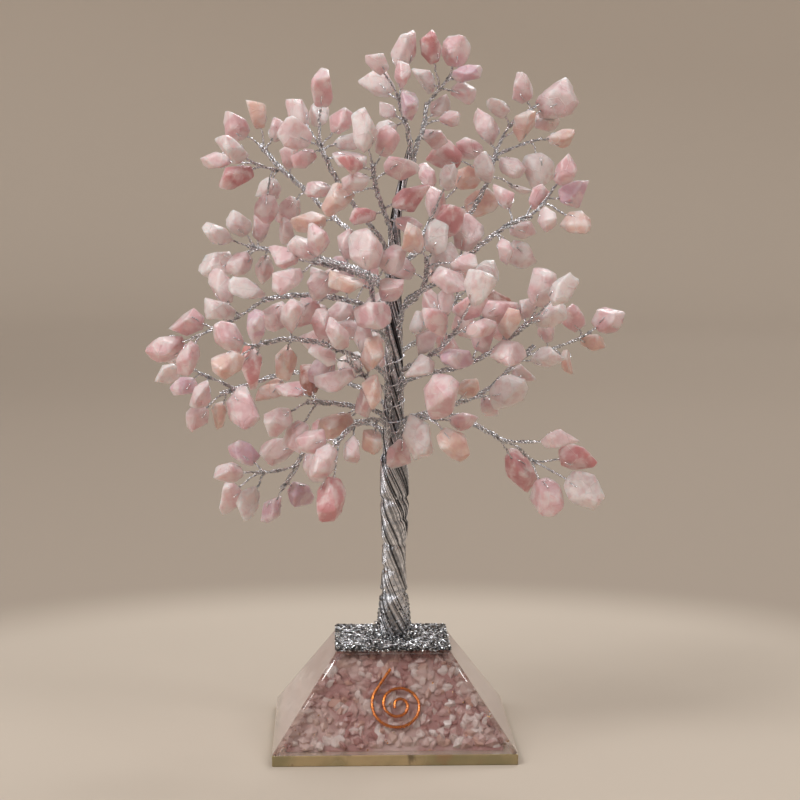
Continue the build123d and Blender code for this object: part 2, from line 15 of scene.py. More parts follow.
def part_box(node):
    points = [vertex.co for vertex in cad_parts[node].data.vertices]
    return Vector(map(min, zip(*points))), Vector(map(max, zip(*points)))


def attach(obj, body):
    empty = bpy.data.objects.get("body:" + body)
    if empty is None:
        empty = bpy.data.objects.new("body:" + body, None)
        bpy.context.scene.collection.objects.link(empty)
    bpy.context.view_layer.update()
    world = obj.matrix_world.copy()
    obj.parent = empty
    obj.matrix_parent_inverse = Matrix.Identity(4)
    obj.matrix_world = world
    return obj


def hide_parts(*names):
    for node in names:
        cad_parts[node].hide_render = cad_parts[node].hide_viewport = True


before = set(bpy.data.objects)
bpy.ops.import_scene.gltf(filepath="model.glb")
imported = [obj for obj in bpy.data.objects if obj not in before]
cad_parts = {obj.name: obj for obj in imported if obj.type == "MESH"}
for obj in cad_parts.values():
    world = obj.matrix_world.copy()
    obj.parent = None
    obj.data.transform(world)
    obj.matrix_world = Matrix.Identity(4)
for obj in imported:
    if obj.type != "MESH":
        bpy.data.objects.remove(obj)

MM = 0.001
TURN = math.tau
UP = Vector((0, 0, 1))
MERGE_REACH = 1e-6
FLAT_ANGLE = 0.01
PLACES = 5
TINT = "tint"

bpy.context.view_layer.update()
log = logging.getLogger("gem_tree")

Colour = tuple[float, float, float, float]
Triple = tuple[float, float, float]
Range = tuple[float, float]
RGB = tuple[int, int, int]
Station = tuple[float, Vector, float]


class Slot(Enum):
    """Material slots of the record."""

    FOOT = "foot_resin"
    RESIN = "clear_resin"
    FILL = "fill_quartz"
    COPPER = "copper"
    GLITTER = "glitter"
    WIRE = "silver_wire"
    QUARTZ = "rose_quartz"


def linear(red: int, green: int, blue: int) -> Colour:
    """Turns an sRGB colour of 0 to 255 into linear light."""
    shares = [level / 255 for level in (red, green, blue)]
    light = [s / 12.92 if s <= 0.04045 else ((s + 0.055) / 1.055) ** 2.4 for s in shares]
    return (*light, 1.0)


class Tone(Enum):
    """Tints of the chips, as sRGB colours."""

    PALE = (238, 215, 217)
    ROSE = (233, 197, 201)
    WHITE = (243, 233, 233)
    PEACH = (235, 204, 193)
    MAUVE = (224, 194, 207)
    DEEP = (217, 157, 160)
    CORAL = (210, 136, 126)
    UMBER = (178, 124, 112)

    @property
    def colour(self) -> Colour:
        """The tint in linear light."""
        return linear(*self.value)


# Chips whose tint is told apart from a few steps away, by their places in the front view in mm
STANDOUTS = {
    Tone.WHITE: ((-44.5, 73), (-71, 117), (-55, 160), (37, 110.5), (46, 179), (40.5, 154), (49, 122)),
    Tone.CORAL: ((-44, 118),),
    Tone.DEEP: ((-20, 76), (18, 165), (-9.5, 166), (17, 185), (-49, 178.5), (59, 90), (41, 85)),
    Tone.UMBER: ((-26, 115), (37, 138)),
    Tone.MAUVE: ((-47, 91),),
    Tone.PEACH: ((-6, 95), (-17.5, 100.5), (20, 94), (63.5, 125.5), (-52, 119.5)),
}


@dataclass(frozen=True)
class Patch:
    """Soft patches of noise: their width in metres, the band where they set in, their weight and form."""

    grain: float
    low: float
    high: float
    weight: float = 1.0
    detail: float = 3.0
    stretch: Triple = (1, 1, 1)


class Signal:
    """A shader socket that takes part in Python expressions."""

    def __init__(self, sheet: "NodeSheet", socket: bpy.types.NodeSocket) -> None:
        """Wraps an output socket of a sheet."""
        self.sheet = sheet
        self.socket = socket

    def combine(self, operation: str, first: "Signal | float", second: "Signal | float") -> "Signal":
        """Adds the Math node of one operation."""
        return self.sheet.add("ShaderNodeMath", {"operation": operation}, {0: first, 1: second})

    def __add__(self, other: "Signal | float") -> "Signal":
        """Sum of two values."""
        return self.combine("ADD", self, other)

    def __radd__(self, other: "Signal | float") -> "Signal":
        """Sum of two values."""
        return self.combine("ADD", other, self)

    def __sub__(self, other: "Signal | float") -> "Signal":
        """Difference of two values."""
        return self.combine("SUBTRACT", self, other)

    def __rsub__(self, other: "Signal | float") -> "Signal":
        """Difference of two values."""
        return self.combine("SUBTRACT", other, self)

    def __mul__(self, other: "Signal | float") -> "Signal":
        """Product of two values."""
        return self.combine("MULTIPLY", self, other)

    def __rmul__(self, other: "Signal | float") -> "Signal":
        """Product of two values."""
        return self.combine("MULTIPLY", other, self)


class NodeSheet:
    """Node tree of one material."""

    def __init__(self, name: str) -> None:
        """Starts an empty material.

        Args:
            name: The material's name.
        """
        self.material = bpy.data.materials.new(name)
        self.material.use_nodes = True
        self.tree = self.material.node_tree
        self.tree.nodes.clear()

    def join(self, socket: bpy.types.NodeSocket, value: "Signal | float | tuple") -> None:
        """Links a signal to a socket, or sets the socket's own value.

        Args:
            socket: The input.
            value: The signal, or the number or colour that it gets.
        """
        if isinstance(value, Signal):
            self.tree.links.new(value.socket, socket)
        else:
            socket.default_value = value

    def add(self, kind: str, settings: dict, inputs: dict, output: int | str = 0) -> Signal:
        """Adds a node.

        Args:
            kind: The node's type.
            settings: Values of the node itself, which are set first.
            inputs: Values or signals of its sockets, by name or number.
            output: The socket that is handed back.

        Returns:
            The chosen output.
        """
        node = self.tree.nodes.new(kind)
        for name, value in settings.items():
            setattr(node, name, value)
        for name, value in inputs.items():
            self.join(node.inputs[name], value)
        return Signal(self, node.outputs[output])

    def place(self, stretch: Triple = (1, 1, 1)) -> Signal:
        """Object coordinates, stretched along the axes."""
        here = self.add("ShaderNodeTexCoord", {}, {}, "Object")
        return self.add("ShaderNodeMapping", {}, {"Vector": here, "Scale": stretch})

    def cloud(self, grain: float, detail: float = 3.0, stretch: Triple = (1, 1, 1)) -> Signal:
        """Soft noise whose lumps are about a grain wide, in metres."""
        inputs = {"Vector": self.place(stretch), "Scale": 1 / grain, "Detail": detail}
        return self.add("ShaderNodeTexNoise", {}, inputs)

    def patches(self, patch: Patch) -> Signal:
        """Soft patches, 0 outside and 1 inside them."""
        return self.step(self.cloud(patch.grain, patch.detail, patch.stretch), patch.low, patch.high)

    def cells(self, grain: float, feature: str = "F1") -> Signal:
        """Distance field of cells about a grain wide, in metres."""
        inputs = {"Vector": self.place(), "Scale": 1 / grain}
        return self.add("ShaderNodeTexVoronoi", {"feature": feature}, inputs, "Distance")

    def step(self, value: Signal, low: float, high: float) -> Signal:
        """Smooth step from 0 at low to 1 at high."""
        inputs = {"Value": value, "From Min": low, "From Max": high}
        return self.add("ShaderNodeMapRange", {"interpolation_type": "SMOOTHSTEP"}, inputs)

    def blend(self, share: Signal | float, first: Signal | Colour, second: Signal | Colour) -> Signal:
        """Colour between two others."""
        return self.add("ShaderNodeMix", {"data_type": "RGBA"}, {0: share, 6: first, 7: second}, 2)

    def painted(self) -> Signal:
        """The tint that a piece carries on its own points."""
        return self.add("ShaderNodeAttribute", {"attribute_name": TINT}, {}, "Color")

    def relief(self, height: Signal, depth: float) -> Signal:
        """Bump of a depth in metres."""
        inputs = {"Height": height, "Distance": depth, "Strength": 1.0}
        return self.add("ShaderNodeBump", {}, inputs)

    def finish(self, inputs: dict) -> bpy.types.Material:
        """Closes the sheet with one Principled shader.

        Args:
            inputs: Values or signals of the shader's sockets.

        Returns:
            The material.
        """
        shader = self.add("ShaderNodeBsdfPrincipled", {}, inputs)
        self.close(shader)
        return self.material

    def close(self, shader: Signal) -> None:
        """Links a shader to the material's output."""
        output = self.tree.nodes.new("ShaderNodeOutputMaterial")
        self.tree.links.new(shader.socket, output.inputs["Surface"])


@dataclass(frozen=True)
class QuartzFinish:
    """Milky rose quartz: a tint for each chip, pale veils, healed cracks and rusty flecks."""

    veil: Colour = linear(247, 237, 236)
    shadow: Colour = linear(217, 170, 173)
    fleck: Colour = linear(178, 106, 100)
    veils: Patch = Patch(4.5 * MM, 0.42, 0.62, 0.62, 5.0)
    mottling: Patch = Patch(2.2 * MM, 0.40, 0.66, 0.40, 4.0)
    flecks: Patch = Patch(2.2 * MM, 0.70, 0.80, 0.45, 2.0)
    crack_grain: float = 6 * MM
    crack_width: float = 0.035
    crack_weight: float = 0.5
    polish: float = 0.22
    scuffs: float = 0.26
    scuff_grain: float = 3 * MM
    dimple_grain: float = 1.6 * MM
    dimple_depth: float = 0.2 * MM
    glow_depth: float = 3.2 * MM

    def material(self) -> bpy.types.Material:
        """Makes the material.

        Returns:
            The material.
        """
        sheet = NodeSheet("rose_quartz")
        veil = sheet.patches(self.veils)
        mottle = sheet.patches(self.mottling)
        crack = 1 - sheet.step(sheet.cells(self.crack_grain, "DISTANCE_TO_EDGE"), 0.0, self.crack_width)
        fleck = sheet.patches(self.flecks)
        colour = sheet.blend(mottle * self.mottling.weight, sheet.painted(), self.shadow)
        colour = sheet.blend(veil * self.veils.weight, colour, self.veil)
        colour = sheet.blend(crack * veil * self.crack_weight, colour, self.veil)
        colour = sheet.blend(fleck * self.flecks.weight, colour, self.fleck)
        height = sheet.cloud(self.dimple_grain) + self.crack_weight * crack
        return sheet.finish({
            "Base Color": colour,
            "Roughness": self.polish + self.scuffs * sheet.cloud(self.scuff_grain),
            "IOR": 1.54,
            "Subsurface Weight": 0.85,
            "Subsurface Radius": (1.0, 0.74, 0.70),
            "Subsurface Scale": self.glow_depth,
            "Transmission Weight": 0.08,
            "Coat Weight": 0.12,
            "Coat Roughness": 0.14,
            "Normal": sheet.relief(height, self.dimple_depth),
        })


@dataclass(frozen=True)
class FillFinish:
    """Crushed quartz seen through resin."""

    veil: Colour = linear(226, 204, 198)
    stain: Colour = linear(158, 108, 92)
    veils: Patch = Patch(9 * MM, 0.42, 0.64, 0.55, 4.0)
    stains: Patch = Patch(3 * MM, 0.64, 0.76, 0.5)
    polish: float = 0.25
    scuffs: float = 0.25
    dimple_grain: float = 1.2 * MM
    dimple_depth: float = 0.15 * MM

    def material(self) -> bpy.types.Material:
        """Makes the material.

        Returns:
            The material.
        """
        sheet = NodeSheet("crushed_quartz")
        veil = sheet.patches(self.veils)
        stain = sheet.patches(self.stains)
        colour = sheet.blend(veil * self.veils.weight, sheet.painted(), self.veil)
        colour = sheet.blend(stain * self.stains.weight, colour, self.stain)
        return sheet.finish({
            "Base Color": colour,
            "Roughness": self.polish + self.scuffs * veil,
            "IOR": 1.54,
            "Transmission Weight": 0.2,
            "Normal": sheet.relief(sheet.cloud(self.dimple_grain), self.dimple_depth),
        })


@dataclass(frozen=True)
class WireFinish:
    """Drawn metal wire, with darker, rougher patches along its length, partly dulled metal and partly
    painted shade.
    """

    name: str
    bright: Colour
    dull_and_shaded: Colour
    polish: float
    dull_and_shade_share: float
    coat: float = 0.0
    # Patches of dulled metal and painted shade, which break the wire into dark and bright stretches.
    dull_and_shade_patches: Patch = Patch(1.3 * MM, 0.46, 0.60)
    dulling: float = 0.22
    die_marks: float = 0.5 * MM
    die_detail: float = 2.0
    die_depth: float = 0.02 * MM

    def material(self) -> bpy.types.Material:
        """Makes the material.

        Returns:
            The material.
        """
        sheet = NodeSheet(self.name)
        patch = sheet.patches(self.dull_and_shade_patches)
        return sheet.finish({
            "Base Color": sheet.blend(patch * self.dull_and_shade_share, self.bright, self.dull_and_shaded),
            "Metallic": 1.0,
            "Roughness": self.polish + self.dulling * patch,
            "Coat Weight": self.coat,
            "Coat Roughness": 0.08,
            "Normal": sheet.relief(sheet.cloud(self.die_marks, self.die_detail), self.die_depth),
        })


@dataclass(frozen=True)
class GlitterFinish:
    """Metal grains, each of its own brightness, which is partly its own tone and partly painted glint and
    shade.
    """

    polish: float = 0.14
    dulling: float = 0.2
    dust_grain: float = 0.6 * MM
    dust_detail: float = 2.0
    dust_depth: float = 0.03 * MM

    def material(self) -> bpy.types.Material:
        """Makes the material.

        Returns:
            The material.
        """
        sheet = NodeSheet("metal_glitter")
        dust = sheet.cloud(self.dust_grain, self.dust_detail)
        return sheet.finish({
            "Base Color": sheet.painted(),
            "Metallic": 1.0,
            "Roughness": self.polish + self.dulling * dust,
            "Normal": sheet.relief(dust, self.dust_depth),
        })


@dataclass(frozen=True)
class ResinFinish:
    """Clear casting resin with a faint warm tint and polishing haze, and a pale matt painted reflection
    where it is looked along.
    """

    name: str
    body: float
    ior: float = 1.5
    tint: Colour = linear(250, 244, 236)
    haze: Colour = linear(238, 224, 212)
    painted_reflection: Colour = linear(244, 231, 224)
    painted_reflection_share: float = 0.34
    hazes: Patch = Patch(9 * MM, 0.5, 0.75, 0.06)
    slanted: Range = (0.45, 0.9)
    slanted_body: float = 0.9
    polish: float = 0.02
    dulling: float = 0.04
    ripple: float = 24 * MM
    ripple_detail: float = 1.0
    ripple_depth: float = 0.1 * MM

    def material(self) -> bpy.types.Material:
        """Makes the material.

        Returns:
            The material.
        """
        sheet = NodeSheet(self.name)
        haze = sheet.patches(self.hazes)
        facing = sheet.add("ShaderNodeLayerWeight", {}, {"Blend": 0.5}, "Facing")
        slant = sheet.step(facing, *self.slanted)
        cloudy = self.body + self.hazes.weight * haze
        clear = sheet.add("ShaderNodeBsdfPrincipled", {}, {
            "Base Color": sheet.blend(haze, self.tint, self.haze),
            "Roughness": self.polish + self.dulling * haze,
            "IOR": self.ior,
            "Transmission Weight": 1.0,
            "Alpha": cloudy + (self.slanted_body - self.body) * slant,
            "Normal": sheet.relief(sheet.cloud(self.ripple, self.ripple_detail), self.ripple_depth),
        })
        # Pale matt colour mixed in where the faces are seen at a slant: a painted reflection of the bright
        # room.
        painted_reflection_shader = sheet.add("ShaderNodeBsdfPrincipled", {}, {"Base Color": self.painted_reflection, "Roughness": 0.3})
        sheet.close(sheet.add("ShaderNodeMixShader", {}, {0: self.painted_reflection_share * slant, 1: clear, 2: painted_reflection_shader}))
        return sheet.material


@dataclass(frozen=True)
class SlabFinish:
    """Tinted resin under the block: olive and straw, with dark streaks and bubbles at the edge."""

    straw: Colour = linear(174, 151, 112)
    olive: Colour = linear(137, 124, 87)
    dark: Colour = linear(78, 62, 44)
    rust: Colour = linear(150, 108, 76)
    olives: Patch = Patch(14 * MM, 0.38, 0.66)
    streaks: Patch = Patch(5 * MM, 0.60, 0.72, 0.75, 4.0, (1, 1, 0.35))
    rusts: Patch = Patch(7 * MM, 0.56, 0.74, 0.5, 2.0)
    bubble_grain: float = 4 * MM
    bubble_rim: Range = (0.06, 0.16)
    bubble_weight: float = 0.4
    polish: float = 0.16
    dulling: float = 0.2
    glow_depth: float = 2 * MM
    dimple_grain: float = 2.5 * MM
    dimple_depth: float = 0.08 * MM

    def material(self) -> bpy.types.Material:
        """Makes the material.

        Returns:
            The material.
        """
        sheet = NodeSheet("tinted_slab")
        broad = sheet.patches(self.olives)
        streak = sheet.patches(self.streaks)
        rusty = sheet.patches(self.rusts)
        bubble = 1 - sheet.step(sheet.cells(self.bubble_grain), *self.bubble_rim)
        colour = sheet.blend(broad, self.straw, self.olive)
        colour = sheet.blend(rusty * self.rusts.weight, colour, self.rust)
        colour = sheet.blend(streak * self.streaks.weight, colour, self.dark)
        colour = sheet.blend(bubble * self.bubble_weight, colour, self.dark)
        return sheet.finish({
            "Base Color": colour,
            "Roughness": self.polish + self.dulling * broad,
            "Subsurface Weight": 0.3,
            "Subsurface Radius": (1.0, 0.8, 0.5),
            "Subsurface Scale": self.glow_depth,
            "Coat Weight": 0.4,
            "Coat Roughness": 0.06,
            "Normal": sheet.relief(sheet.cloud(self.dimple_grain), self.dimple_depth),
        })


@dataclass(frozen=True)
class PaperFinish:
    """Matt paper of the studio: pale underfoot, tan further out, lighter again where it curves up, as
    painted light that offsets the shade of the cove and wall.
    """

    near: Colour = linear(200, 188, 174)
    far: Colour = linear(167, 154, 141)
    painted_wall_light: Colour = linear(208, 195, 181)
    near_reach: float = 0.19
    far_reach: float = 0.27
    foot_of_wall: float = 1.0
    top_of_wall: float = 2.4

    def material(self) -> bpy.types.Material:
        """Makes the material.

        Returns:
            The material.
        """
        sheet = NodeSheet("studio_paper")
        here = sheet.add("ShaderNodeTexCoord", {}, {}, "Object")
        away = sheet.add("ShaderNodeVectorMath", {"operation": "LENGTH"}, {0: here}, "Value")
        colour = sheet.blend(sheet.step(away, self.near_reach, self.far_reach), self.near, self.far)
        # Painted light: the paper is made paler where it curves up, to offset the shade that falls there.
        colour = sheet.blend(sheet.step(away, self.foot_of_wall, self.top_of_wall), colour, self.painted_wall_light)
        return sheet.finish({
            "Base Color": colour,
            "Roughness": 0.85,
            "Specular IOR Level": 0.2,
        })


class Shade(Enum):
    """Painted brightness of a wire in a bundle, as the number of its material: lit, grey and shaded copies
    of one silver that stand in for glints and shade.
    """

    BRIGHT = 0
    GREY = 1
    DARK = 2


class Palette:
    """The finishes of the tree, each made once."""

    # Bright colour, and colour of dulled metal and painted shade, of silver wire for each painted shade:
    # lit, grey and shaded.
    TWISTED = (
        ((250, 251, 255), (178, 177, 180)),
        ((222, 223, 228), (130, 129, 132)),
        ((140, 140, 144), (72, 71, 72)),
    )
    BUNDLED = (
        ((244, 246, 253), (126, 127, 131)),
        ((176, 178, 184), (78, 79, 82)),
        ((82, 83, 87), (36, 37, 38)),
    )
    SILVER_POLISH = 0.18

    def __init__(self) -> None:
        """Makes every material."""
        self.quartz = QuartzFinish().material()
        self.fill = FillFinish().material()
        self.twisted = self.shaded("twisted", 0.7, self.TWISTED)
        self.bundled = self.shaded("bundled", 0.35, self.BUNDLED)
        # The darkest wire colour, used as painted shade behind wires and between grains.
        self.painted_shade_fill = self.bundled[Shade.DARK.value]
        # Copper with patches of dulled metal and painted shade.
        copper = WireFinish(
            "copper_wire", linear(208, 120, 46), linear(156, 76, 24), polish=0.14, dull_and_shade_share=0.4, coat=0.8,
        )
        self.copper = copper.material()
        self.glitter = GlitterFinish().material()
        self.resin = ResinFinish("clear_resin", body=0.26).material()
        self.resin_edge = ResinFinish("polished_edge", body=0.8, ior=2.1).material()
        self.slab = SlabFinish().material()
        self.paper = PaperFinish().material()

    @classmethod
    def shaded(cls, name: str, dull_and_shade_share: float, tones: tuple) -> tuple[bpy.types.Material, ...]:
        """Makes silver wire in the three painted shades of a bundle, lit, grey and shaded copies of one
        silver.

        Args:
            name: How the wire is laid.
            dull_and_shade_share: How much of it is dulled metal and painted shade.
            tones: Its bright colour and its colour of dulled metal and painted shade, for each painted
                shade.

        Returns:
            The materials, in the order of the shades.
        """
        looks = []
        for shade, (bright, dull_and_shaded) in zip(Shade, tones):
            label = f"{name}_{shade.name.lower()}"
            finish = WireFinish(label, linear(*bright), linear(*dull_and_shaded), cls.SILVER_POLISH, dull_and_shade_share)
            looks.append(finish.material())
        return tuple(looks)


def publish(name: str, mesh: bpy.types.Mesh, slot: Slot, *nodes: str) -> None:
    """Adds a finished mesh to the part.

    Args:
        name: The piece's name.
        mesh: Its mesh, in place and with its materials.
        slot: The record's slot for its finish; not used.
        nodes: The CAD nodes that it stands for.
    """
    mesh.name = name
    piece = bpy.data.objects.new(name, mesh)
    bpy.context.scene.collection.objects.link(piece)
    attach(piece, "root")
    if nodes:
        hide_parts(*nodes)
    log.info("%s: %d faces", name, len(mesh.polygons))


def mesh_of(solid: bmesh.types.BMesh, smooth: bool, *looks: bpy.types.Material) -> bpy.types.Mesh:
    """Turns a bmesh into a mesh and frees it.

    Args:
        solid: The bmesh.
        smooth: Whether its faces shade smoothly.
        looks: The materials, in the order of its faces' numbers.

    Returns:
        The mesh.
    """
    for face in solid.faces:
        face.smooth = smooth
    mesh = bpy.data.meshes.new("piece")
    solid.to_mesh(mesh)
    solid.free()
    for look in looks:
        mesh.materials.append(look)
    return mesh


class Heap:
    """Gathers many small solids in batches, because an operator slows down as its mesh grows."""

    BATCH = 100

    def __init__(self) -> None:
        """Starts an empty heap."""
        self.batch = bmesh.new()
        self.whole = bmesh.new()
        self.tints: list[float] = []
        self.count = 0

    def add(self, points: list[bmesh.types.BMVert], tint: Colour) -> None:
        """Counts in a solid that was just made in the batch.

        Args:
            points: Its points.
            tint: The colour that they carry.
        """
        self.tints.extend(tint * len(points))
        self.count += 1
        if self.count % self.BATCH == 0:
            self.pour()

    def pour(self) -> None:
        """Moves the batch on to the heap."""
        mesh = bpy.data.meshes.new("batch")
        self.batch.to_mesh(mesh)
        self.batch.clear()
        self.whole.from_mesh(mesh)
        bpy.data.meshes.remove(mesh)

    def mesh(self, look: bpy.types.Material) -> bpy.types.Mesh:
        """Turns the heap into one mesh that carries its tints.

        Args:
            look: Its material.

        Returns:
            The mesh.
        """
        self.pour()
        self.batch.free()
        bmesh.ops.recalc_face_normals(self.whole, faces=self.whole.faces)
        mesh = mesh_of(self.whole, False, look)
        mesh.attributes.new(TINT, "FLOAT_COLOR", "POINT").data.foreach_set("color", self.tints)
        return mesh


def loose_parts(node: str) -> list[bmesh.types.BMesh]:
    """Copies the separate solids of a CAD node.

    Args:
        node: The node's name.

    Returns:
        One bmesh for each solid, with its flat faces whole, ordered by place.
    """
    whole = bmesh.new()
    whole.from_mesh(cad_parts[node].data)
    bmesh.ops.remove_doubles(whole, verts=whole.verts, dist=MERGE_REACH)
    bmesh.ops.dissolve_limit(whole, angle_limit=FLAT_ANGLE, verts=whole.verts, edges=whole.edges)
    whole.verts.index_update()
    parts = []
    waiting = set(whole.verts)
    while waiting:
        island = {waiting.pop()}
        edge_of_island = list(island)
        while edge_of_island:
            point = edge_of_island.pop()
            fresh = {edge.other_vert(point) for edge in point.link_edges} - island
            island |= fresh
            edge_of_island.extend(fresh)
        waiting -= island
        kept = {point.index for point in island}
        part = whole.copy()
        spare = [point for point in part.verts if point.index not in kept]
        bmesh.ops.delete(part, geom=spare, context="VERTS")
        part.normal_update()
        parts.append(part)
    whole.free()
    return sorted(parts, key=lambda part: [round(level, PLACES) for level in middle_of(part)])


def middle_of(part: bmesh.types.BMesh) -> Vector:
    """Mean of a solid's points."""
    return sum((point.co for point in part.verts), Vector()) / len(part.verts)


def nearest(line: list[Vector], target: Vector) -> int:
    """Number of the point of a line that is nearest to a target."""
    return min(range(len(line)), key=lambda number: (line[number] - target).length_squared)


def gap(line: list[Vector], target: Vector) -> float:
    """Distance from a target to the nearest point of a line."""
    return (line[nearest(line, target)] - target).length


def sideways(along: Vector, count: int) -> list[Vector]:
    """Directions across an axis, spread evenly over half a turn."""
    aside = along.orthogonal().normalized()
    return [Quaternion(along, math.pi * number / count) @ aside for number in range(count)]


@dataclass
class Swept:
    """Centre line and radius of a swept solid."""

    line: list[Vector]
    radius: float

    CAP_SIDES: ClassVar[int] = 6
    LAST_STEP: ClassVar[float] = 1.5
    SECTION_REACH: ClassVar[float] = 2.2
    ROUNDS: ClassVar[int] = 3

    @classmethod
    def read(cls, part: bmesh.types.BMesh, carrier: list[Vector], step: float) -> "Swept":
        """Walks through a solid from the end cap that is nearer to its carrier.

        Args:
            part: The solid, with six-sided end caps.
            carrier: Points of the wire that carries it.
            step: Length of a step.

        Returns:
            Its centre line and radius.
        """
        ends = [face for face in part.faces if len(face.verts) == cls.CAP_SIDES]
        caps = sorted(ends, key=cls.unevenness)[:2]
        middles = [face.calc_center_median() for face in caps]
        gaps = [gap(carrier, middle) for middle in middles]
        first = gaps.index(min(gaps))
        point, end = middles[first], middles[1 - first]
        heading = -caps[first].normal
        radius = (caps[first].verts[0].co - point).length
        line = [point]
        while (end - point).length > cls.LAST_STEP * step:
            guess = point + heading * step
            ring = cls.crossing(part, guess, heading, cls.SECTION_REACH * radius)
            if not ring:
                break
            middle = sum(ring, Vector()) / len(ring)
            heading = (middle - point).normalized()
            point = middle
            line.append(point)
        line.append(end)
        return cls(relaxed(line, cls.ROUNDS), radius)

    def carried_by(self, carrier: list[Vector]) -> "Swept":
        """The same wire, walked from the end that is nearer to its carrier."""
        backwards = gap(carrier, self.line[-1]) < gap(carrier, self.line[0])
        return Swept(self.line[::-1], self.radius) if backwards else self

    @staticmethod
    def unevenness(face: bmesh.types.BMFace) -> float:
        """Difference between a face's longest and shortest edge, least for a regular one."""
        lengths = [edge.calc_length() for edge in face.edges]
        return max(lengths) - min(lengths)

    @staticmethod
    def crossing(part: bmesh.types.BMesh, origin: Vector, normal: Vector, reach: float) -> list[Vector]:
        """Finds where a solid's edges pass through a plane.

        Args:
            part: The solid.
            origin: A point of the plane.
            normal: The direction square to it.
            reach: How far from the origin a point counts.

        Returns:
            The points.
        """
        found = []
        for edge in part.edges:
            start, end = (point.co for point in edge.verts)
            before, after = (start - origin).dot(normal), (end - origin).dot(normal)
            if before * after < 0:
                point = start.lerp(end, before / (before - after))
                if (point - origin).length < reach:
                    found.append(point)
        return found


def relaxed(line: list[Vector], rounds: int) -> list[Vector]:
    """Evens out a line between its ends.

    Args:
        line: The points.
        rounds: How often it is evened out.

    Returns:
        As many points, on a smoother line.
    """
    for _ in range(rounds):
        inner = [(a + 2 * b + c) / 4 for a, b, c in zip(line, line[1:], line[2:])]
        line = [line[0], *inner, line[-1]]
    return line


def paced(line: list[Vector], step: float) -> list[Vector]:
    """Divides a line into equal steps.

    Args:
        line: The points.
        step: About the length of a step.

    Returns:
        Points on the same line, equally far apart.
    """
    lengths = [(b - a).length for a, b in zip(line, line[1:])]
    count = max(2, round(sum(lengths) / step))
    pace = sum(lengths) / count
    points, run, number = [line[0]], 0.0, 0
    for mark in range(1, count):
        while run + lengths[number] < mark * pace:
            run += lengths[number]
            number += 1
        points.append(line[number].lerp(line[number + 1], (mark * pace - run) / lengths[number]))
    return [*points, line[-1]]


def bow(start: Vector, corner: Vector, end: Vector, count: int) -> list[Vector]:
    """Points of an arc that leaves a start toward a corner and comes to an end from it."""
    shares = [step / count for step in range(count)]
    return [start.lerp(corner, share).lerp(corner.lerp(end, share), share) for share in shares]


def wound(line: list[Vector], radius: float, lay: float, phase: float) -> list[Vector]:
    """Winds a wire round a line.

    Args:
        line: Points an even step apart.
        radius: Distance of the wire from the line.
        lay: Length of one turn, negative for a left-handed one.
        phase: Angle at the start.

    Returns:
        As many points, on the wire.
    """
    points, run = [], 0.0
    side = (line[1] - line[0]).orthogonal().normalized()
    for number, point in enumerate(line):
        ahead, behind = line[min(number + 1, len(line) - 1)], line[max(number - 1, 0)]
        heading = (ahead - behind).normalized()
        side = (side - heading * side.dot(heading)).normalized()
        if number:
            run += (point - line[number - 1]).length
        turned = Quaternion(heading, phase + TURN * run / lay) @ side
        points.append(point + turned * radius)
    return points


class WireLoom:
    """Gathers round wires and hands them over as one mesh."""

    STEPS_PER_TURN = 8

    def __init__(self, looks: tuple[bpy.types.Material, ...], roundness: int) -> None:
        """Starts an empty bundle.

        Args:
            looks: The materials of its wires.
            roundness: How finely a wire's section is divided.
        """
        self.curve = bpy.data.curves.new("loom", "CURVE")
        self.curve.dimensions = "3D"
        self.curve.bevel_depth = MM
        self.curve.bevel_resolution = roundness
        self.curve.use_fill_caps = True
        for look in looks:
            self.curve.materials.append(look)

    def lay(self, points: list[Vector], width: float, shade: Shade = Shade.BRIGHT) -> None:
        """Adds one wire.

        Args:
            points: Its centre line.
            width: Its width.
            shade: Its brightness.
        """
        spline = self.curve.splines.new("POLY")
        spline.material_index = shade.value
        spline.points.add(len(points) - 1)
        spline.points.foreach_set("co", [level for point in points for level in (*point, 1.0)])
        spline.points.foreach_set("radius", [width / 2 / MM] * len(points))
        spline.use_smooth = True

    def lay_pair(self, line: list[Vector], wire: float, lay: float, phase: float) -> tuple[Vector, Vector]:
        """Adds a twisted pair along a line, one of its wires in the grey painted shade, darker than the
        other.

        Args:
            line: The pair's centre line.
            wire: Width of one wire.
            lay: Length of one turn.
            phase: Angle at the start.

        Returns:
            The last points of its two wires.
        """
        steps = paced(line, abs(lay) / self.STEPS_PER_TURN)
        both = [wound(steps, wire / 2, lay, phase + turn) for turn in (0.0, math.pi)]
        for points, shade in zip(both, (Shade.BRIGHT, Shade.GREY)):
            self.lay(points, wire, shade)
        return both[0][-1], both[1][-1]

    def mesh(self) -> bpy.types.Mesh:
        """Turns the wires into one mesh.

        Returns:
            The mesh.
        """
        holder = bpy.data.objects.new("loom", self.curve)
        bpy.context.scene.collection.objects.link(holder)
        ready = holder.evaluated_get(bpy.context.evaluated_depsgraph_get())
        mesh = bpy.data.meshes.new_from_object(ready)
        bpy.data.objects.remove(holder)
        bpy.data.curves.remove(self.curve)
        return mesh


def boxed(low: Vector, high: Vector) -> bmesh.types.BMesh:
    """Makes a plain box, to be shaped further.

    Args:
        low: Its lowest corner.
        high: Its highest corner.

    Returns:
        The box.
    """
    solid = bmesh.new()
    place = Matrix.Translation((low + high) / 2) @ Matrix.Diagonal((*(high - low), 1))
    bmesh.ops.create_cube(solid, size=1.0, matrix=place)
    return solid


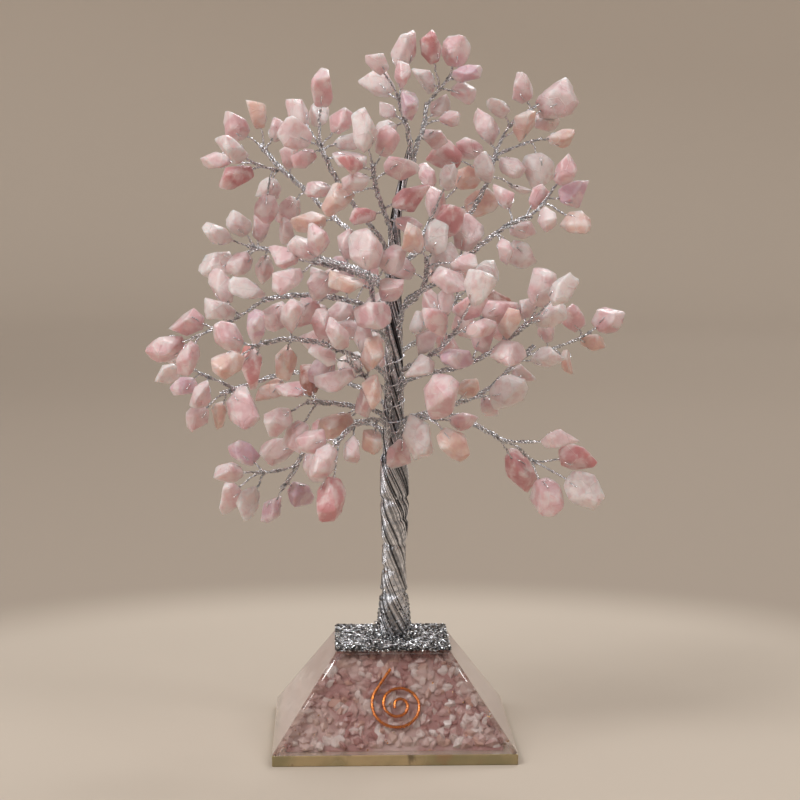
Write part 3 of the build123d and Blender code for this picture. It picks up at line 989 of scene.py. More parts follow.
def rounded_off(solid: bmesh.types.BMesh, edges: list, radius: float, segments: int) -> None:
    """Rounds edges of a solid.

    Args:
        solid: The solid.
        edges: The edges.
        radius: How much is taken off.
        segments: How finely the round is divided.
    """
    bmesh.ops.bevel(
        solid, geom=edges, offset=radius, segments=segments, profile=0.5, affect="EDGES", material=-1,
    )


def tossed(draw: random.Random) -> Matrix:
    """Turn about a random axis."""
    axis = Vector([draw.gauss(0, 1) for _ in range(3)]).normalized()
    return Matrix.Rotation(draw.uniform(0, TURN), 4, axis)


def to_side(number: int) -> Quaternion:
    """Turn that brings what is in front to one of the block's four sides."""
    return Quaternion(UP, TURN / 4 * (number % 4))


def outward(angle: float, reach: float) -> Vector:
    """Level step of a length in a direction."""
    return Vector((math.cos(angle), math.sin(angle), 0)) * reach


@dataclass
class FootSlab:
    """Thin cast slab under the block."""

    edge_round: float = 0.35 * MM
    edge_segments: int = 3

    def build(self, palette: Palette) -> None:
        """Makes the slab from its CAD box.

        Args:
            palette: The finishes.
        """
        solid = boxed(*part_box("foot_slab"))
        rounded_off(solid, list(solid.edges), self.edge_round, self.edge_segments)
        publish("foot_slab_cast", mesh_of(solid, False, palette.slab), Slot.FOOT, "foot_slab")


@dataclass
class ClearBlock:
    """Truncated pyramid of clear resin, with the crushed quartz and brass specks cast into it."""

    edge_round: float = 1.3 * MM
    edge_segments: int = 4
    least_face: float = 200 * MM * MM
    seat: float = 0.02 * MM
    top_band: float = 0.1 * MM
    chip_step: float = 2.7 * MM
    chip_least: float = 3.2 * MM
    chip_most: float = 6.8 * MM
    chip_width: Range = (0.6, 0.85)
    chip_thickness: Range = (0.45, 0.7)
    chip_dents: Range = (-0.28, 0.18)
    shake: float = 1.2 * MM
    face_margin: float = 1.0 * MM
    end_margin: float = 0.3 * MM
    coil_margin: float = 2.6 * MM
    corner_margin: float = 2.5 * MM
    shell: float = 9 * MM
    heart_depth: float = 4.0 * MM
    heart_foot: float = 0.1 * MM
    heart_head: float = 2 * MM
    heart_tone: RGB = (176, 128, 124)
    tones: tuple[RGB, ...] = (
        (202, 164, 160), (192, 150, 146), (222, 200, 197), (176, 128, 124), (200, 158, 146), (230, 214, 212),
    )
    specks: int = 90
    speck: float = 0.5 * MM
    speck_sizes: Range = (0.6, 1.3)
    speck_width: Range = (0.5, 0.9)
    speck_thickness: float = 0.25
    speck_foot: float = 1 * MM
    speck_rise: float = 20 * MM
    speck_depth: Range = (0.6 * MM, 2.2 * MM)
    speck_spread: float = 1.9
    speck_bias: float = 1.6
    speck_tones: tuple[RGB, ...] = ((236, 196, 112), (214, 150, 74), (250, 226, 170))
    seed: int = 11

    def __post_init__(self) -> None:
        """Reads the block's size from the frame."""
        self.low, self.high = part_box("resin_pyramid")
        points = [point.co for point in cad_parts["resin_pyramid"].data.vertices]
        self.top_half = max(point.x for point in points if point.z > self.high.z - self.top_band)

    def half(self, height: float) -> float:
        """Half the block's side at a height."""
        share = (height - self.low.z) / (self.high.z - self.low.z)
        return self.high.x + (self.top_half - self.high.x) * share

    def tapered(self, solid: bmesh.types.BMesh, inset: float, low: float, high: float) -> list:
        """Adds a block that follows the slanted faces.

        Args:
            solid: The mesh that it is added to.
            inset: Its depth behind the faces.
            low: Height of its foot.
            high: Height of its top.

        Returns:
            Its points.
        """
        made = bmesh.ops.create_cube(solid, size=2.0)["verts"]
        for point in made:
            height = high if point.co.z > 0 else low
            reach = self.half(height) - inset
            point.co = Vector((point.co.x * reach, point.co.y * reach, height))
        return made

    def build(self, palette: Palette) -> None:
        """Makes the block, its fill and its specks.

        Args:
            palette: The finishes.
        """
        solid = bmesh.new()
        foot = self.low.z + self.seat
        self.tapered(solid, 0.0, foot, self.high.z)
        free = [edge for edge in solid.edges if max(point.co.z for point in edge.verts) > foot]
        rounded_off(solid, free, self.edge_round, self.edge_segments)
        shell = mesh_of(solid, False, palette.resin, palette.resin_edge)
        for face in shell.polygons:
            face.use_smooth = face.area < self.least_face
            face.material_index = int(face.use_smooth)
        publish("resin_block", shell, Slot.RESIN, "resin_pyramid")
        publish("crushed_quartz", self.fill(palette), Slot.FILL, "quartz_fill")
        publish("brass_specks", self.brass(palette), Slot.GLITTER)

    def fill(self, palette: Palette) -> bpy.types.Mesh:
        """Makes crushed quartz in jumbled layers, clear of the faces and of the slanted edges.

        Args:
            palette: The finishes.

        Returns:
            The mesh, with a tint for each chip.
        """
        draw = random.Random(self.seed)
        heap = Heap()
        foot, head = self.low.z + self.heart_foot, self.high.z - self.heart_head
        heap.add(self.tapered(heap.batch, self.heart_depth, foot, head), linear(*self.heart_tone))
        layers = int((self.high.z - self.low.z - self.chip_least) / self.chip_step)
        for layer in range(layers + 1):
            height = self.low.z + self.chip_least / 2 + layer * self.chip_step
            reach = self.half(height) - self.face_margin - self.chip_least / 3
            for spot in self.layer_spots(reach):
                shake = Vector([draw.uniform(-1, 1) for _ in range(3)]) * self.shake
                self.shard(heap, spot + UP * height + shake, draw)
        return heap.mesh(palette.fill)

    def layer_spots(self, reach: float) -> list[Vector]:
        """Sets out one layer of chips.

        Args:
            reach: Half the layer's side.

        Returns:
            Spots on a square grid, near the faces and clear of the slanted edges.
        """
        count = int(2 * reach / self.chip_step) + 1
        corner = Vector((reach, reach, 0))
        spots = []
        for column in range(count):
            for row in range(count):
                spot = Vector((column, row, 0)) * (2 * reach / (count - 1)) - corner
                inside = reach - max(abs(spot.x), abs(spot.y))
                from_edge = 2 * reach - abs(spot.x) - abs(spot.y)
                if from_edge >= self.corner_margin and inside <= self.shell:
                    spots.append(spot)
        return spots

    def shard(self, heap: Heap, spot: Vector, draw: random.Random) -> None:
        """Adds one angular chip.

        Args:
            heap: The fill.
            spot: The chip's middle.
            draw: Source of chance.
        """
        size = draw.uniform(self.chip_least, self.chip_most)
        shape = Matrix.Diagonal((1.0, draw.uniform(*self.chip_width), draw.uniform(*self.chip_thickness), 1))
        place = Matrix.Translation(spot) @ tossed(draw) @ shape
        made = bmesh.ops.create_icosphere(heap.batch, subdivisions=1, radius=size / 2, matrix=place)["verts"]
        for point in made:
            point.co += (point.co - spot) * draw.uniform(*self.chip_dents)
        bmesh.ops.translate(heap.batch, verts=made, vec=self.clearance([point.co for point in made]))
        heap.add(made, linear(*draw.choice(self.tones)))

    def clearance(self, places: list[Vector]) -> Vector:
        """Works out the move that brings points inside the block, behind the coil at the front.

        Args:
            places: The points.

        Returns:
            The move.
        """
        limits = [self.half(place.z) - self.face_margin for place in places]
        behind = self.coil_margin - self.face_margin
        floor, ceiling = self.low.z + self.end_margin, self.high.z - self.end_margin
        rooms = (
            [(-limit - place.x, limit - place.x) for limit, place in zip(limits, places)],
            [(behind - limit - place.y, limit - place.y) for limit, place in zip(limits, places)],
            [(floor - place.z, ceiling - place.z) for place in places],
        )
        up = [max(0.0, max(least for least, _ in room)) for room in rooms]
        down = [min(0.0, min(most for _, most in room)) for room in rooms]
        return Vector(up) + Vector(down)

    def brass(self, palette: Palette) -> bpy.types.Mesh:
        """Makes specks of brass just behind the faces, mostly low and to the left.

        Args:
            palette: The finishes.

        Returns:
            The mesh, with a tint for each speck.
        """
        draw = random.Random(self.seed + 1)
        heap = Heap()
        for number in range(self.specks):
            height = self.low.z + self.speck_foot + self.speck_rise * draw.random() ** 2
            reach = self.half(height) - draw.uniform(*self.speck_depth)
            across = reach * (1 - self.speck_spread * draw.random() ** self.speck_bias)
            spot = to_side(number) @ Vector((-across, -reach, height))
            shape = Matrix.Diagonal((1, draw.uniform(*self.speck_width), self.speck_thickness, 1))
            place = Matrix.Translation(spot) @ tossed(draw) @ shape
            size = self.speck * draw.uniform(*self.speck_sizes)
            made = bmesh.ops.create_cube(heap.batch, size=size, matrix=place)
            heap.add(made["verts"], linear(*draw.choice(self.speck_tones)))
        return heap.mesh(palette.glitter)


@dataclass
class CopperSpiral:
    """Copper wire coiled flat behind the front face, its tail run out straight."""

    step: float = 0.4 * MM
    roundness: int = 4
    tail: float = 8.2 * MM
    tail_slope: float = 0.8
    tail_steps: int = 8

    def build(self, palette: Palette) -> None:
        """Makes a round wire along the middle of the CAD spiral.

        Args:
            palette: The finishes.
        """
        part = loose_parts("copper_spiral")[0]
        swept = Swept.read(part, [middle_of(part)], self.step)
        loom = WireLoom((palette.copper,), self.roundness)
        loom.lay(self.route(swept.line), 2 * swept.radius)
        publish("copper_spiral_wire", loom.mesh(), Slot.COPPER, "copper_spiral")

    def route(self, line: list[Vector]) -> list[Vector]:
        """Lets the outermost turn leave the spiral in a straight tail.

        Args:
            line: The spiral from its inner end.

        Returns:
            Its points up to the tail, and the tail.
        """
        number = min(range(len(line) // 2, len(line)), key=lambda place: line[place].x)
        heading = (line[number + 1] - line[number]).normalized()
        while abs(heading.x) < self.tail_slope * abs(heading.z):
            number += 1
            heading = (line[number + 1] - line[number]).normalized()
        end = line[number] + heading * self.tail
        shares = [step / self.tail_steps for step in range(self.tail_steps + 1)]
        return line[:number] + [line[number].lerp(end, share) for share in shares]


@dataclass
class GlitterBed:
    """Bed of metal grains and curled trimmings on top of the block, heaped at the trunk's foot."""

    trunk: "Trunk"
    thickness: float = 0.8 * MM
    core_share: float = 0.8
    core_round: float = 0.25 * MM
    core_segments: int = 2
    rim: float = 0.4 * MM
    collar: float = 3.0 * MM
    heap_rise: float = 1.9 * MM
    heap_slope: float = 1.5
    grain_least: float = 0.26 * MM
    grain_most: float = 0.58 * MM
    grain_width: Range = (0.5, 0.9)
    grain_thickness: Range = (0.3, 0.6)
    # Brightness of each grain, partly its own tone and partly painted glint and shade.
    shades: tuple[float, ...] = (0.06, 0.13, 0.27, 0.48, 0.76, 0.98)
    cast: Triple = (0.97, 1.0, 1.05)
    top_grains: int = 9000
    top_lift: Range = (-0.1 * MM, 0.35 * MM)
    side_grains: int = 1400
    side_proud: Range = (-0.1 * MM, 0.5 * MM)
    side_rise: Range = (-0.25, 0.85)
    foot_grains: int = 1300
    foot_spread: float = 0.75
    foot_proud: Range = (-0.2 * MM, 0.4 * MM)
    foot_thinning: float = 0.5 * MM
    climb: float = 17 * MM
    climb_bias: float = 2.6
    trimmings: int = 130
    trimming_wire: float = 0.34 * MM
    trimming_margin: float = 3 * MM
    trimming_gap: float = 0.5 * MM
    trimming_lift: Range = (0.0, 0.3 * MM)
    curl_radius: Range = (0.7 * MM, 2.4 * MM)
    curl_sweep: Range = (1.2, 4.0)
    curl_tilt: Range = (0.0, 0.5)
    curl_steps: int = 10
    seed: int = 23

    def __post_init__(self) -> None:
        """Reads the bed's place from the frame."""
        self.draw = random.Random(self.seed)
        self.low, self.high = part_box("glitter_bed")
        self.half = self.high.x - self.rim
        self.core_top = self.low.z + self.thickness * self.core_share

    def build(self, palette: Palette) -> None:
        """Makes the bed, its grains and its trimmings.

        Args:
            palette: The finishes.
        """
        core = boxed(self.low, Vector((self.high.x, self.high.y, self.core_top)))
        rounded_off(core, list(core.edges), self.core_round, self.core_segments)
        heap = Heap()
        self.cover_top(heap)
        self.cover_sides(heap)
        self.cover_foot(heap)
        # The core is in the darkest wire colour: painted shade that shows between the grains.
        publish("glitter_bed_core", mesh_of(core, False, palette.painted_shade_fill), Slot.GLITTER, "glitter_bed")
        publish("glitter_grains", heap.mesh(palette.glitter), Slot.GLITTER)
        publish("wire_trimmings", self.strewn(palette), Slot.GLITTER)

    def anywhere(self, reach: float) -> Vector:
        """Random spot on the bed, within a reach to each side of its middle."""
        return Vector((self.draw.uniform(-reach, reach), self.draw.uniform(-reach, reach), 0))

    def heaped(self, away: float) -> float:
        """Rise of the heap at a distance from the trunk's foot."""
        return self.heap_rise * max(0.0, 1 - away / self.collar) ** self.heap_slope

    def cover_top(self, heap: Heap) -> None:
        """Strews grains over the bed's top, up to the trunk.

        Args:
            heap: The grains.
        """
        for _ in range(self.top_grains):
            spot = self.anywhere(self.half)
            away = self.trunk.distance(spot)
            if away >= 0:
                spot.z = self.core_top + self.heaped(away) + self.draw.uniform(*self.top_lift)
                self.grain(heap, spot)

    def cover_sides(self, heap: Heap) -> None:
        """Sets grains round the bed's four edges.

        Args:
            heap: The grains.
        """
        for number in range(self.side_grains):
            out = self.half + self.draw.uniform(*self.side_proud)
            height = self.low.z + self.draw.uniform(*self.side_rise) * self.thickness
            across = self.draw.uniform(-self.half, self.half)
            self.grain(heap, to_side(number) @ Vector((across, -out, height)))

    def cover_foot(self, heap: Heap) -> None:
        """Lets grains climb the trunk's foot on its left and right, fewer and flatter higher up.

        Args:
            heap: The grains.
        """
        least, most = self.foot_proud
        for number in range(self.foot_grains):
            angle = math.pi * (number % 2) + self.draw.gauss(0, self.foot_spread)
            share = self.draw.random() ** self.climb_bias
            height = self.low.z + self.thickness + self.climb * share
            proud = self.draw.uniform(least, most - self.foot_thinning * share)
            reach = self.trunk.sheath_radius(height) * self.trunk.waist(height) + proud
            spot = self.trunk.foot_middle() + outward(angle, reach)
            spot.z = height
            self.grain(heap, spot)

    def grain(self, heap: Heap, spot: Vector) -> None:
        """Adds one flat grain, turned at random.

        Args:
            heap: The grains.
            spot: The grain's middle.
        """
        draw = self.draw
        size = draw.uniform(self.grain_least, self.grain_most)
        shape = Matrix.Diagonal((1, draw.uniform(*self.grain_width), draw.uniform(*self.grain_thickness), 1))
        place = Matrix.Translation(spot) @ tossed(draw) @ shape
        made = bmesh.ops.create_cube(heap.batch, size=size, matrix=place)
        shade = draw.choice(self.shades)
        heap.add(made["verts"], (*(shade * level for level in self.cast), 1.0))

    def strewn(self, palette: Palette) -> bpy.types.Mesh:
        """Makes short curled ends of wire over the grains.

        Args:
            palette: The finishes.

        Returns:
            The mesh.
        """
        draw = self.draw
        loom = WireLoom(palette.twisted, 0)
        for _ in range(self.trimmings):
            spot = self.anywhere(self.half - self.trimming_margin)
            away = self.trunk.distance(spot)
            if away < self.trimming_gap:
                continue
            spot.z = self.low.z + self.thickness + self.heaped(away) + draw.uniform(*self.trimming_lift)
            radius = draw.uniform(*self.curl_radius)
            start, sweep = draw.uniform(0, TURN), draw.uniform(*self.curl_sweep)
            axis = Vector((draw.gauss(0, 1), draw.gauss(0, 1), 0)).normalized()
            tilt = Quaternion(axis, draw.uniform(*self.curl_tilt))
            marks = [start + sweep * step / self.curl_steps for step in range(self.curl_steps + 1)]
            ring = [outward(mark, radius) - Vector((radius, 0, 0)) for mark in marks]
            loom.lay([spot + tilt @ point for point in ring], self.trimming_wire)
        return loom.mesh()


@dataclass
class Trunk:
    """Bundle of fine wires with a left-handed lay, in an outer layer that ends in a folded shoulder."""

    wire: float = 0.46 * MM
    roundness: int = 1
    lay: float = 58 * MM
    step: float = 1.1 * MM
    least_steps: int = 4
    shoulder: float = 4 * MM
    wander: float = 0.07
    wander_noise: Triple = (2.0, 60.0, 1.3)
    ruck: float = 0.16 * MM
    ruck_noise: Triple = (3.0, 90.0, 8.1)
    strands: int = 74
    strand_ends: float = 1.5 * MM
    strand_sink: float = 2.2 * MM
    waist_height: float = 56 * MM
    waist_reach: float = 15 * MM
    waist_share: float = 0.24
    loose_wires: int = 9
    loose_height: float = 74 * MM
    loose_reach: float = 15 * MM
    loose_rise: float = 0.5 * MM
    loose_spread: Range = (0.5, 1.0)
    loose_spacing: float = 0.3
    loose_sink: float = 1.8 * MM
    inner_overlap: float = 9 * MM
    inner_packing: float = 0.9
    inner_least: float = 18 * MM
    inner_ends: float = 6 * MM
    inner_sink: float = 0.6 * MM
    # Rings, sides and depth of the dark solid of painted shade behind the outer wires.
    heart_rings: int = 60
    heart_sides: int = 20
    heart_depth: float = 0.75 * MM
    heart_least: float = 0.3 * MM
    loops: tuple[Triple, ...] = ((100, 1.6, 5), (107, 1.3, 9), (116, 2.2, 16))
    loop_steps: int = 28
    loop_phase: float = 0.6
    loop_proud: float = 0.6
    loop_tuck: float = 0.9 * MM
    loop_tuck_power: int = 8
    seed: int = 5

    # Painted shades that the wires get at random: lit, grey and shaded copies of one silver.
    SHADES: ClassVar[list[Shade]] = [Shade.BRIGHT, Shade.BRIGHT, Shade.GREY, Shade.GREY, Shade.DARK]

    def __post_init__(self) -> None:
        """Reads the trunk's width along its height from the frame."""
        self.draw = random.Random(self.seed)
        self.core = self.stations("trunk_core")
        self.sheath = self.stations("trunk_sheath")

    @staticmethod
    def stations(node: str) -> list[Station]:
        """Reads the rings of a node.

        Args:
            node: The node's name.

        Returns:
            Height, middle and radius of each ring, from the lowest up.
        """
        rings: dict[float, list[Vector]] = {}
        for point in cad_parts[node].data.vertices:
            rings.setdefault(round(point.co.z, PLACES), []).append(point.co.copy())
        found = []
        for height, points in sorted(rings.items()):
            distinct = {(round(point.x, PLACES + 1), round(point.y, PLACES + 1)): point for point in points}
            middle = sum(distinct.values(), Vector()) / len(distinct)
            found.append((height, middle, max((point - middle).length for point in points)))
        return found

    @staticmethod
    def between(stations: list[Station], height: float) -> tuple[Vector, float]:
        """Finds the bundle's place at a height.

        Args:
            stations: Its rings.
            height: The height.

        Returns:
            Its middle and its radius there.
        """
        if height <= stations[0][0]:
            return stations[0][1].xy.to_3d() + UP * height, stations[0][2]
        for low, high in zip(stations, stations[1:]):
            if height <= high[0]:
                share = (height - low[0]) / (high[0] - low[0])
                return low[1].lerp(high[1], share), low[2] + (high[2] - low[2]) * share
        return stations[-1][1].xy.to_3d() + UP * height, stations[-1][2]

    def foot_middle(self) -> Vector:
        """Middle of the trunk's foot."""
        return self.sheath[0][1]

    def distance(self, spot: Vector) -> float:
        """Level distance of a spot from the trunk's foot."""
        return (spot - self.foot_middle()).xy.length - self.sheath[0][2]

    def sheath_radius(self, height: float) -> float:
        """Outer radius of the lower trunk at a height."""
        return self.between(self.sheath, height)[1]

    def waist(self, height: float) -> float:
        """Share of the trunk's full width that is left where the bundle is pulled tight."""
        return 1 - self.waist_share * math.exp(-((height - self.waist_height) / self.waist_reach) ** 2)

    def axis(self, step: float) -> list[Vector]:
        """Divides the middle line of the trunk.

        Args:
            step: About the length of a step.

        Returns:
            Points from its foot up.
        """
        low, high = self.core[0][0], self.core[-1][0]
        count = round((high - low) / step)
        heights = [low + (high - low) * number / count for number in range(count + 1)]
        return [self.between(self.core, height)[0] for height in heights]

    @staticmethod
    def ripple(phase: float, height: float, form: Triple) -> float:
        """Smooth noise over a strand's phase and height, by its paces along both and its layer."""
        return noise.noise(Vector((phase * form[0], height * form[1], form[2])))

    def strand(self, stations: list[Station], low: float, high: float, phase: float, sink: float,
               rise: float = 0.0) -> list[Vector]:
        """Winds one wire of the bundle.

        Args:
            stations: The rings that it winds round.
            low: Height of its start.
            high: Height of its end.
            phase: Angle at the foot.
            sink: How far it dives in at its end.
            rise: How far it stands off the bundle at its loosest.

        Returns:
            Its points.
        """
        count = max(self.least_steps, round((high - low) / self.step))
        points = []
        for number in range(count + 1):
            height = low + (high - low) * number / count
            middle, radius = self.between(stations, height)
            drift = self.wander * self.ripple(phase, height, self.wander_noise)
            lift = self.ruck * self.ripple(phase, height, self.ruck_noise)
            dive = sink * max(0.0, 1 - (high - height) / self.shoulder) ** 2
            loose = rise * math.exp(-((height - self.loose_height) / self.loose_reach) ** 2)
            reach = radius * self.waist(height) - self.wire / 2 + lift - dive + loose
            angle = phase - TURN * (height - self.core[0][0]) / self.lay + drift
            points.append(middle + outward(angle, reach))
        return points

    def build(self, palette: Palette) -> None:
        """Makes the two layers of wire, the dark solid of painted shade behind them and the single wires
        wrapped round.

        Args:
            palette: The finishes.
        """
        publish("trunk_outer_wires", self.outer(palette), Slot.WIRE, "trunk_sheath")
        publish("trunk_inner_wires", self.inner(palette), Slot.WIRE, "trunk_core")
        publish("trunk_heart", self.heart(palette), Slot.WIRE)
        publish("trunk_wraps", self.wraps(palette), Slot.WIRE)

    def outer(self, palette: Palette) -> bpy.types.Mesh:
        """Makes the wires up to the shoulder, and a few looser ones over them in front.

        Args:
            palette: The finishes.

        Returns:
            The mesh.
        """
        loom = WireLoom(palette.bundled, self.roundness)
        foot, shoulder = self.sheath[0][0], self.sheath[-1][0]
        for number in range(self.strands):
            top = shoulder - self.draw.uniform(0.0, self.strand_ends)
            phase = TURN * number / self.strands
            points = self.strand(self.sheath, foot, top, phase, self.strand_sink)
            loom.lay(points, self.wire, self.draw.choice(self.SHADES))
        facing = TURN * (self.loose_height - self.core[0][0]) / self.lay
        for number in range(self.loose_wires):
            phase = facing + self.loose_spacing * (number - self.loose_wires / 2)
            rise = self.loose_rise * self.draw.uniform(*self.loose_spread)
            points = self.strand(self.sheath, foot, shoulder, phase, self.loose_sink, rise)
            loom.lay(points, self.wire, self.draw.choice(self.SHADES))
        return loom.mesh()

    def inner(self, palette: Palette) -> bpy.types.Mesh:
        """Makes the wires from inside the shoulder to the crown, of which fewer go on higher up.

        Args:
            palette: The finishes.

        Returns:
            The mesh.
        """
        loom = WireLoom(palette.bundled, self.roundness)
        start = self.sheath[-1][0] - self.inner_overlap
        widest = self.between(self.core, start)[1]
        count = round(TURN * widest / self.wire * self.inner_packing)
        for number in range(count):
            least = widest * self.draw.random()
            narrower = (height for height, _, radius in self.core if radius < least and height > start)
            top = next(narrower, self.core[-1][0]) + self.draw.uniform(-self.inner_ends, 0)
            top = max(start + self.inner_least, top)
            points = self.strand(self.core, start, top, TURN * number / count, self.inner_sink)
            loom.lay(points, self.wire, self.draw.choice(self.SHADES))
        return loom.mesh()

    def heart(self, palette: Palette) -> bpy.types.Mesh:
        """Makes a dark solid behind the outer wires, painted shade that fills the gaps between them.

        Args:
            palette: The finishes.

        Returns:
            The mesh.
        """
        solid = bmesh.new()
        below = None
        foot, shoulder, top = self.sheath[0][0], self.sheath[-1][0], self.core[-1][0]
        for number in range(self.heart_rings + 1):
            height = foot + (top - foot) * number / self.heart_rings
            stations = self.sheath if height < shoulder - 2 * self.shoulder else self.core
            middle, radius = self.between(stations, height)
            reach = max(self.heart_least, radius * self.waist(height) - self.heart_depth)
            place = Matrix.Translation(middle)
            ring = bmesh.ops.create_circle(solid, segments=self.heart_sides, radius=reach, matrix=place)
            edges = list({edge for point in ring["verts"] for edge in point.link_edges})
            if below:
                bmesh.ops.bridge_loops(solid, edges=below + edges)
            below = edges
        bmesh.ops.holes_fill(solid, edges=solid.edges)
        bmesh.ops.recalc_face_normals(solid, faces=solid.faces)
        return mesh_of(solid, True, palette.painted_shade_fill)

    def wraps(self, palette: Palette) -> bpy.types.Mesh:
        """Makes single wires wrapped round the trunk above its shoulder, their ends tucked in.

        Args:
            palette: The finishes.

        Returns:
            The mesh.
        """
        loom = WireLoom(palette.bundled, self.roundness)
        for height, turns, rise in self.loops:
            count = round(turns * self.loop_steps)
            points = []
            for number in range(count + 1):
                share = number / count
                middle, radius = self.between(self.core, (height + rise * (share - 0.5)) * MM)
                angle = self.loop_phase * height + TURN * turns * share
                tuck = self.loop_tuck * (2 * abs(share - 0.5)) ** self.loop_tuck_power
                points.append(middle + outward(angle, radius + self.wire * self.loop_proud - tuck))
            loom.lay(points, self.wire)
        return loom.mesh()


@dataclass
class Leaf:
    """A drilled chip and the twig that carries it."""

    chip: bmesh.types.BMesh
    start: Vector
    root: Vector
    along: Vector
    tone: Tone = Tone.PALE

    def length(self) -> float:
        """Length of the chip from its drilled end."""
        return max((point.co - self.root).dot(self.along) for point in self.chip.verts)


@dataclass
class Limb:
    """A wire limb: a stem of twisted pairs, its forks, and a twig for each chip."""

    name: str
    trunk: Trunk
    wire: float = 0.42 * MM
    pair_lay: float = 2.5 * MM
    pair_shift: float = 0.3
    lay_spread: Range = (0.85, 1.25)
    bundle_lay: float = 15 * MM
    bundle_steps: int = 14
    thick_stem: float = 0.85 * MM
    thick_pairs: int = 3
    thin_pairs: int = 2
    walk: float = 1.5 * MM
    peel: float = 3.2 * MM
    peel_steps: int = 8
    fork_join: int = 2
    trunk_peel: float = 9 * MM
    trunk_start: float = 0.7
    trunk_bend: float = 0.8
    trunk_join: int = 3
    crinkle: float = 0.35 * MM
    crinkle_span: float = 8 * MM
    twig_bend: float = 0.45
    twig_bend_most: float = 3 * MM
    twig_steps: int = 6
    eye: float = 0.36
    eye_slant: float = 0.04
    eye_tries: int = 8
    # Width of the short dark wire where each end goes into the chip, painted shade of the drilled hole.
    hole_shade_wire: float = 0.8 * MM
    grip_marks: tuple[float, ...] = (0.04, 0.12, 0.20, 0.28)
    grip_proud: float = 0.45
    grip_step: float = 0.35 * MM
    strikes: tuple[int, int] = (3, 5)
    strike_depth: Range = (0.09, 0.25)
    tip_slant: float = 0.45
    root_limit: float = -0.25
    merge_angle: float = 0.12
    creases: Range = (0.4, 0.95)
    levels: int = 2
    width_tries: int = 12
    plump: Triple = (1.14, 1.34, 1.3)
    broad_lumps: float = 3.2 * MM
    fine_lumps: float = 1.4 * MM
    fine_share: float = 0.5
    lump_height: float = 0.022
    noise_room: float = 50.0

    TWIG_POINTS: ClassVar[int] = 8

    def __post_init__(self) -> None:
        """Reads the stems, twigs and chips from the frame."""
        self.draw = random.Random(self.name)
        parts = loose_parts(f"limb_{self.name}")
        twigs = [self.twig_ends(part) for part in parts if len(part.verts) == self.TWIG_POINTS]
        self.stems = self.read_stems([part for part in parts if len(part.verts) != self.TWIG_POINTS])
        self.leaves = [self.pair(chip, twigs) for chip in loose_parts(f"chips_{self.name}")]

    def read_stems(self, parts: list[bmesh.types.BMesh]) -> list[Swept]:
        """Reads the main stem and its forks.

        Args:
            parts: Their solids.

        Returns:
            The main stem, then the forks, each from the end that is carried.
        """
        axis = self.trunk.axis(self.walk)
        found = [Swept.read(part, axis, self.walk) for part in parts]
        found.sort(key=lambda stem: min(gap(axis, stem.line[0]), gap(axis, stem.line[-1])))
        main, *forks = found
        return [main, *(fork.carried_by(main.line) for fork in forks)]

    @classmethod
    def twig_ends(cls, part: bmesh.types.BMesh) -> tuple[Vector, Vector]:
        """Finds the two ends of a straight twig.

        Args:
            part: Its solid.

        Returns:
            The middles of its end faces.
        """
        longest = max(part.edges, key=lambda edge: edge.calc_length())
        heading = (longest.verts[1].co - longest.verts[0].co).normalized()
        points = sorted((point.co for point in part.verts), key=lambda point: point.dot(heading))
        corners = cls.TWIG_POINTS // 2
        return sum(points[:corners], Vector()) / corners, sum(points[corners:], Vector()) / corners

    @staticmethod
    def pair(chip: bmesh.types.BMesh, twigs: list[tuple[Vector, Vector]]) -> Leaf:
        """Finds the twig that carries a chip.

        Args:
            chip: The chip's solid.
            twigs: The ends of all twigs.

        Returns:
            The chip with its twig.
        """
        options = []
        for first, second in twigs:
            for start, root in ((first, second), (second, first)):
                options.append((min((point.co - root).length for point in chip.verts), start, root))
        _, start, root = min(options, key=lambda option: option[0])
        return Leaf(chip, start.copy(), root.copy(), (root - start).normalized())

    def build(self, palette: Palette) -> None:
        """Makes the limb's chips and its wires.

        Args:
            palette: The finishes.
        """
        stones = bmesh.new()
        tint = stones.verts.layers.float_color.new(TINT)
        loom = WireLoom(palette.twisted, 0)
        for number, stem in enumerate(self.stems):
            self.lay_stem(loom, stem, number)
        rough = [self.struck(leaf) for leaf in self.leaves]
        for leaf, stone in zip(self.leaves, rounded(rough, self.levels)):
            self.tumble(leaf, stone)
            self.lay_twig(loom, leaf, stone)
            before = len(stones.verts)
            stones.from_mesh(stone)
            stones.verts.ensure_lookup_table()
            for point in stones.verts[before:]:
                point[tint] = leaf.tone.colour
            bpy.data.meshes.remove(stone)
        wires, chips = f"limb_{self.name}", f"chips_{self.name}"
        publish(f"{wires}_wires", loom.mesh(), Slot.WIRE, wires)
        publish(f"{chips}_quartz", mesh_of(stones, True, palette.quartz), Slot.QUARTZ, chips)

    def lay_stem(self, loom: WireLoom, stem: Swept, number: int) -> None:
        """Adds a stem as twisted pairs wound round each other.

        Args:
            loom: The limb's wires.
            stem: Its centre line and radius.
            number: Its order, with the main stem first.
        """
        line = stem.line
        if number == 0:
            axis = self.trunk.axis(self.walk)
            anchor = axis[nearest(axis, line[0])]
            out = (line[0] - anchor).xy.to_3d()
            start = anchor - UP * self.trunk_peel + out * self.trunk_start
            onward = line[self.trunk_join:]
            line = bow(start, anchor + out * self.trunk_bend, onward[0], self.peel_steps) + onward
        else:
            onward = line[self.fork_join:]
            line = self.peeled(self.stems[0].line, line[0], onward[0]) + onward
        pairs = self.thick_pairs if stem.radius > self.thick_stem else self.thin_pairs
        line = paced(relaxed(line, 2), self.bundle_lay / self.bundle_steps)
        for pair in range(pairs):
            phase = TURN * pair / pairs + self.draw.uniform(-self.pair_shift, self.pair_shift)
            core = wound(line, stem.radius - self.wire, self.bundle_lay, phase)
            loom.lay_pair(core, self.wire, self.pair_lay, self.draw.uniform(0, TURN))

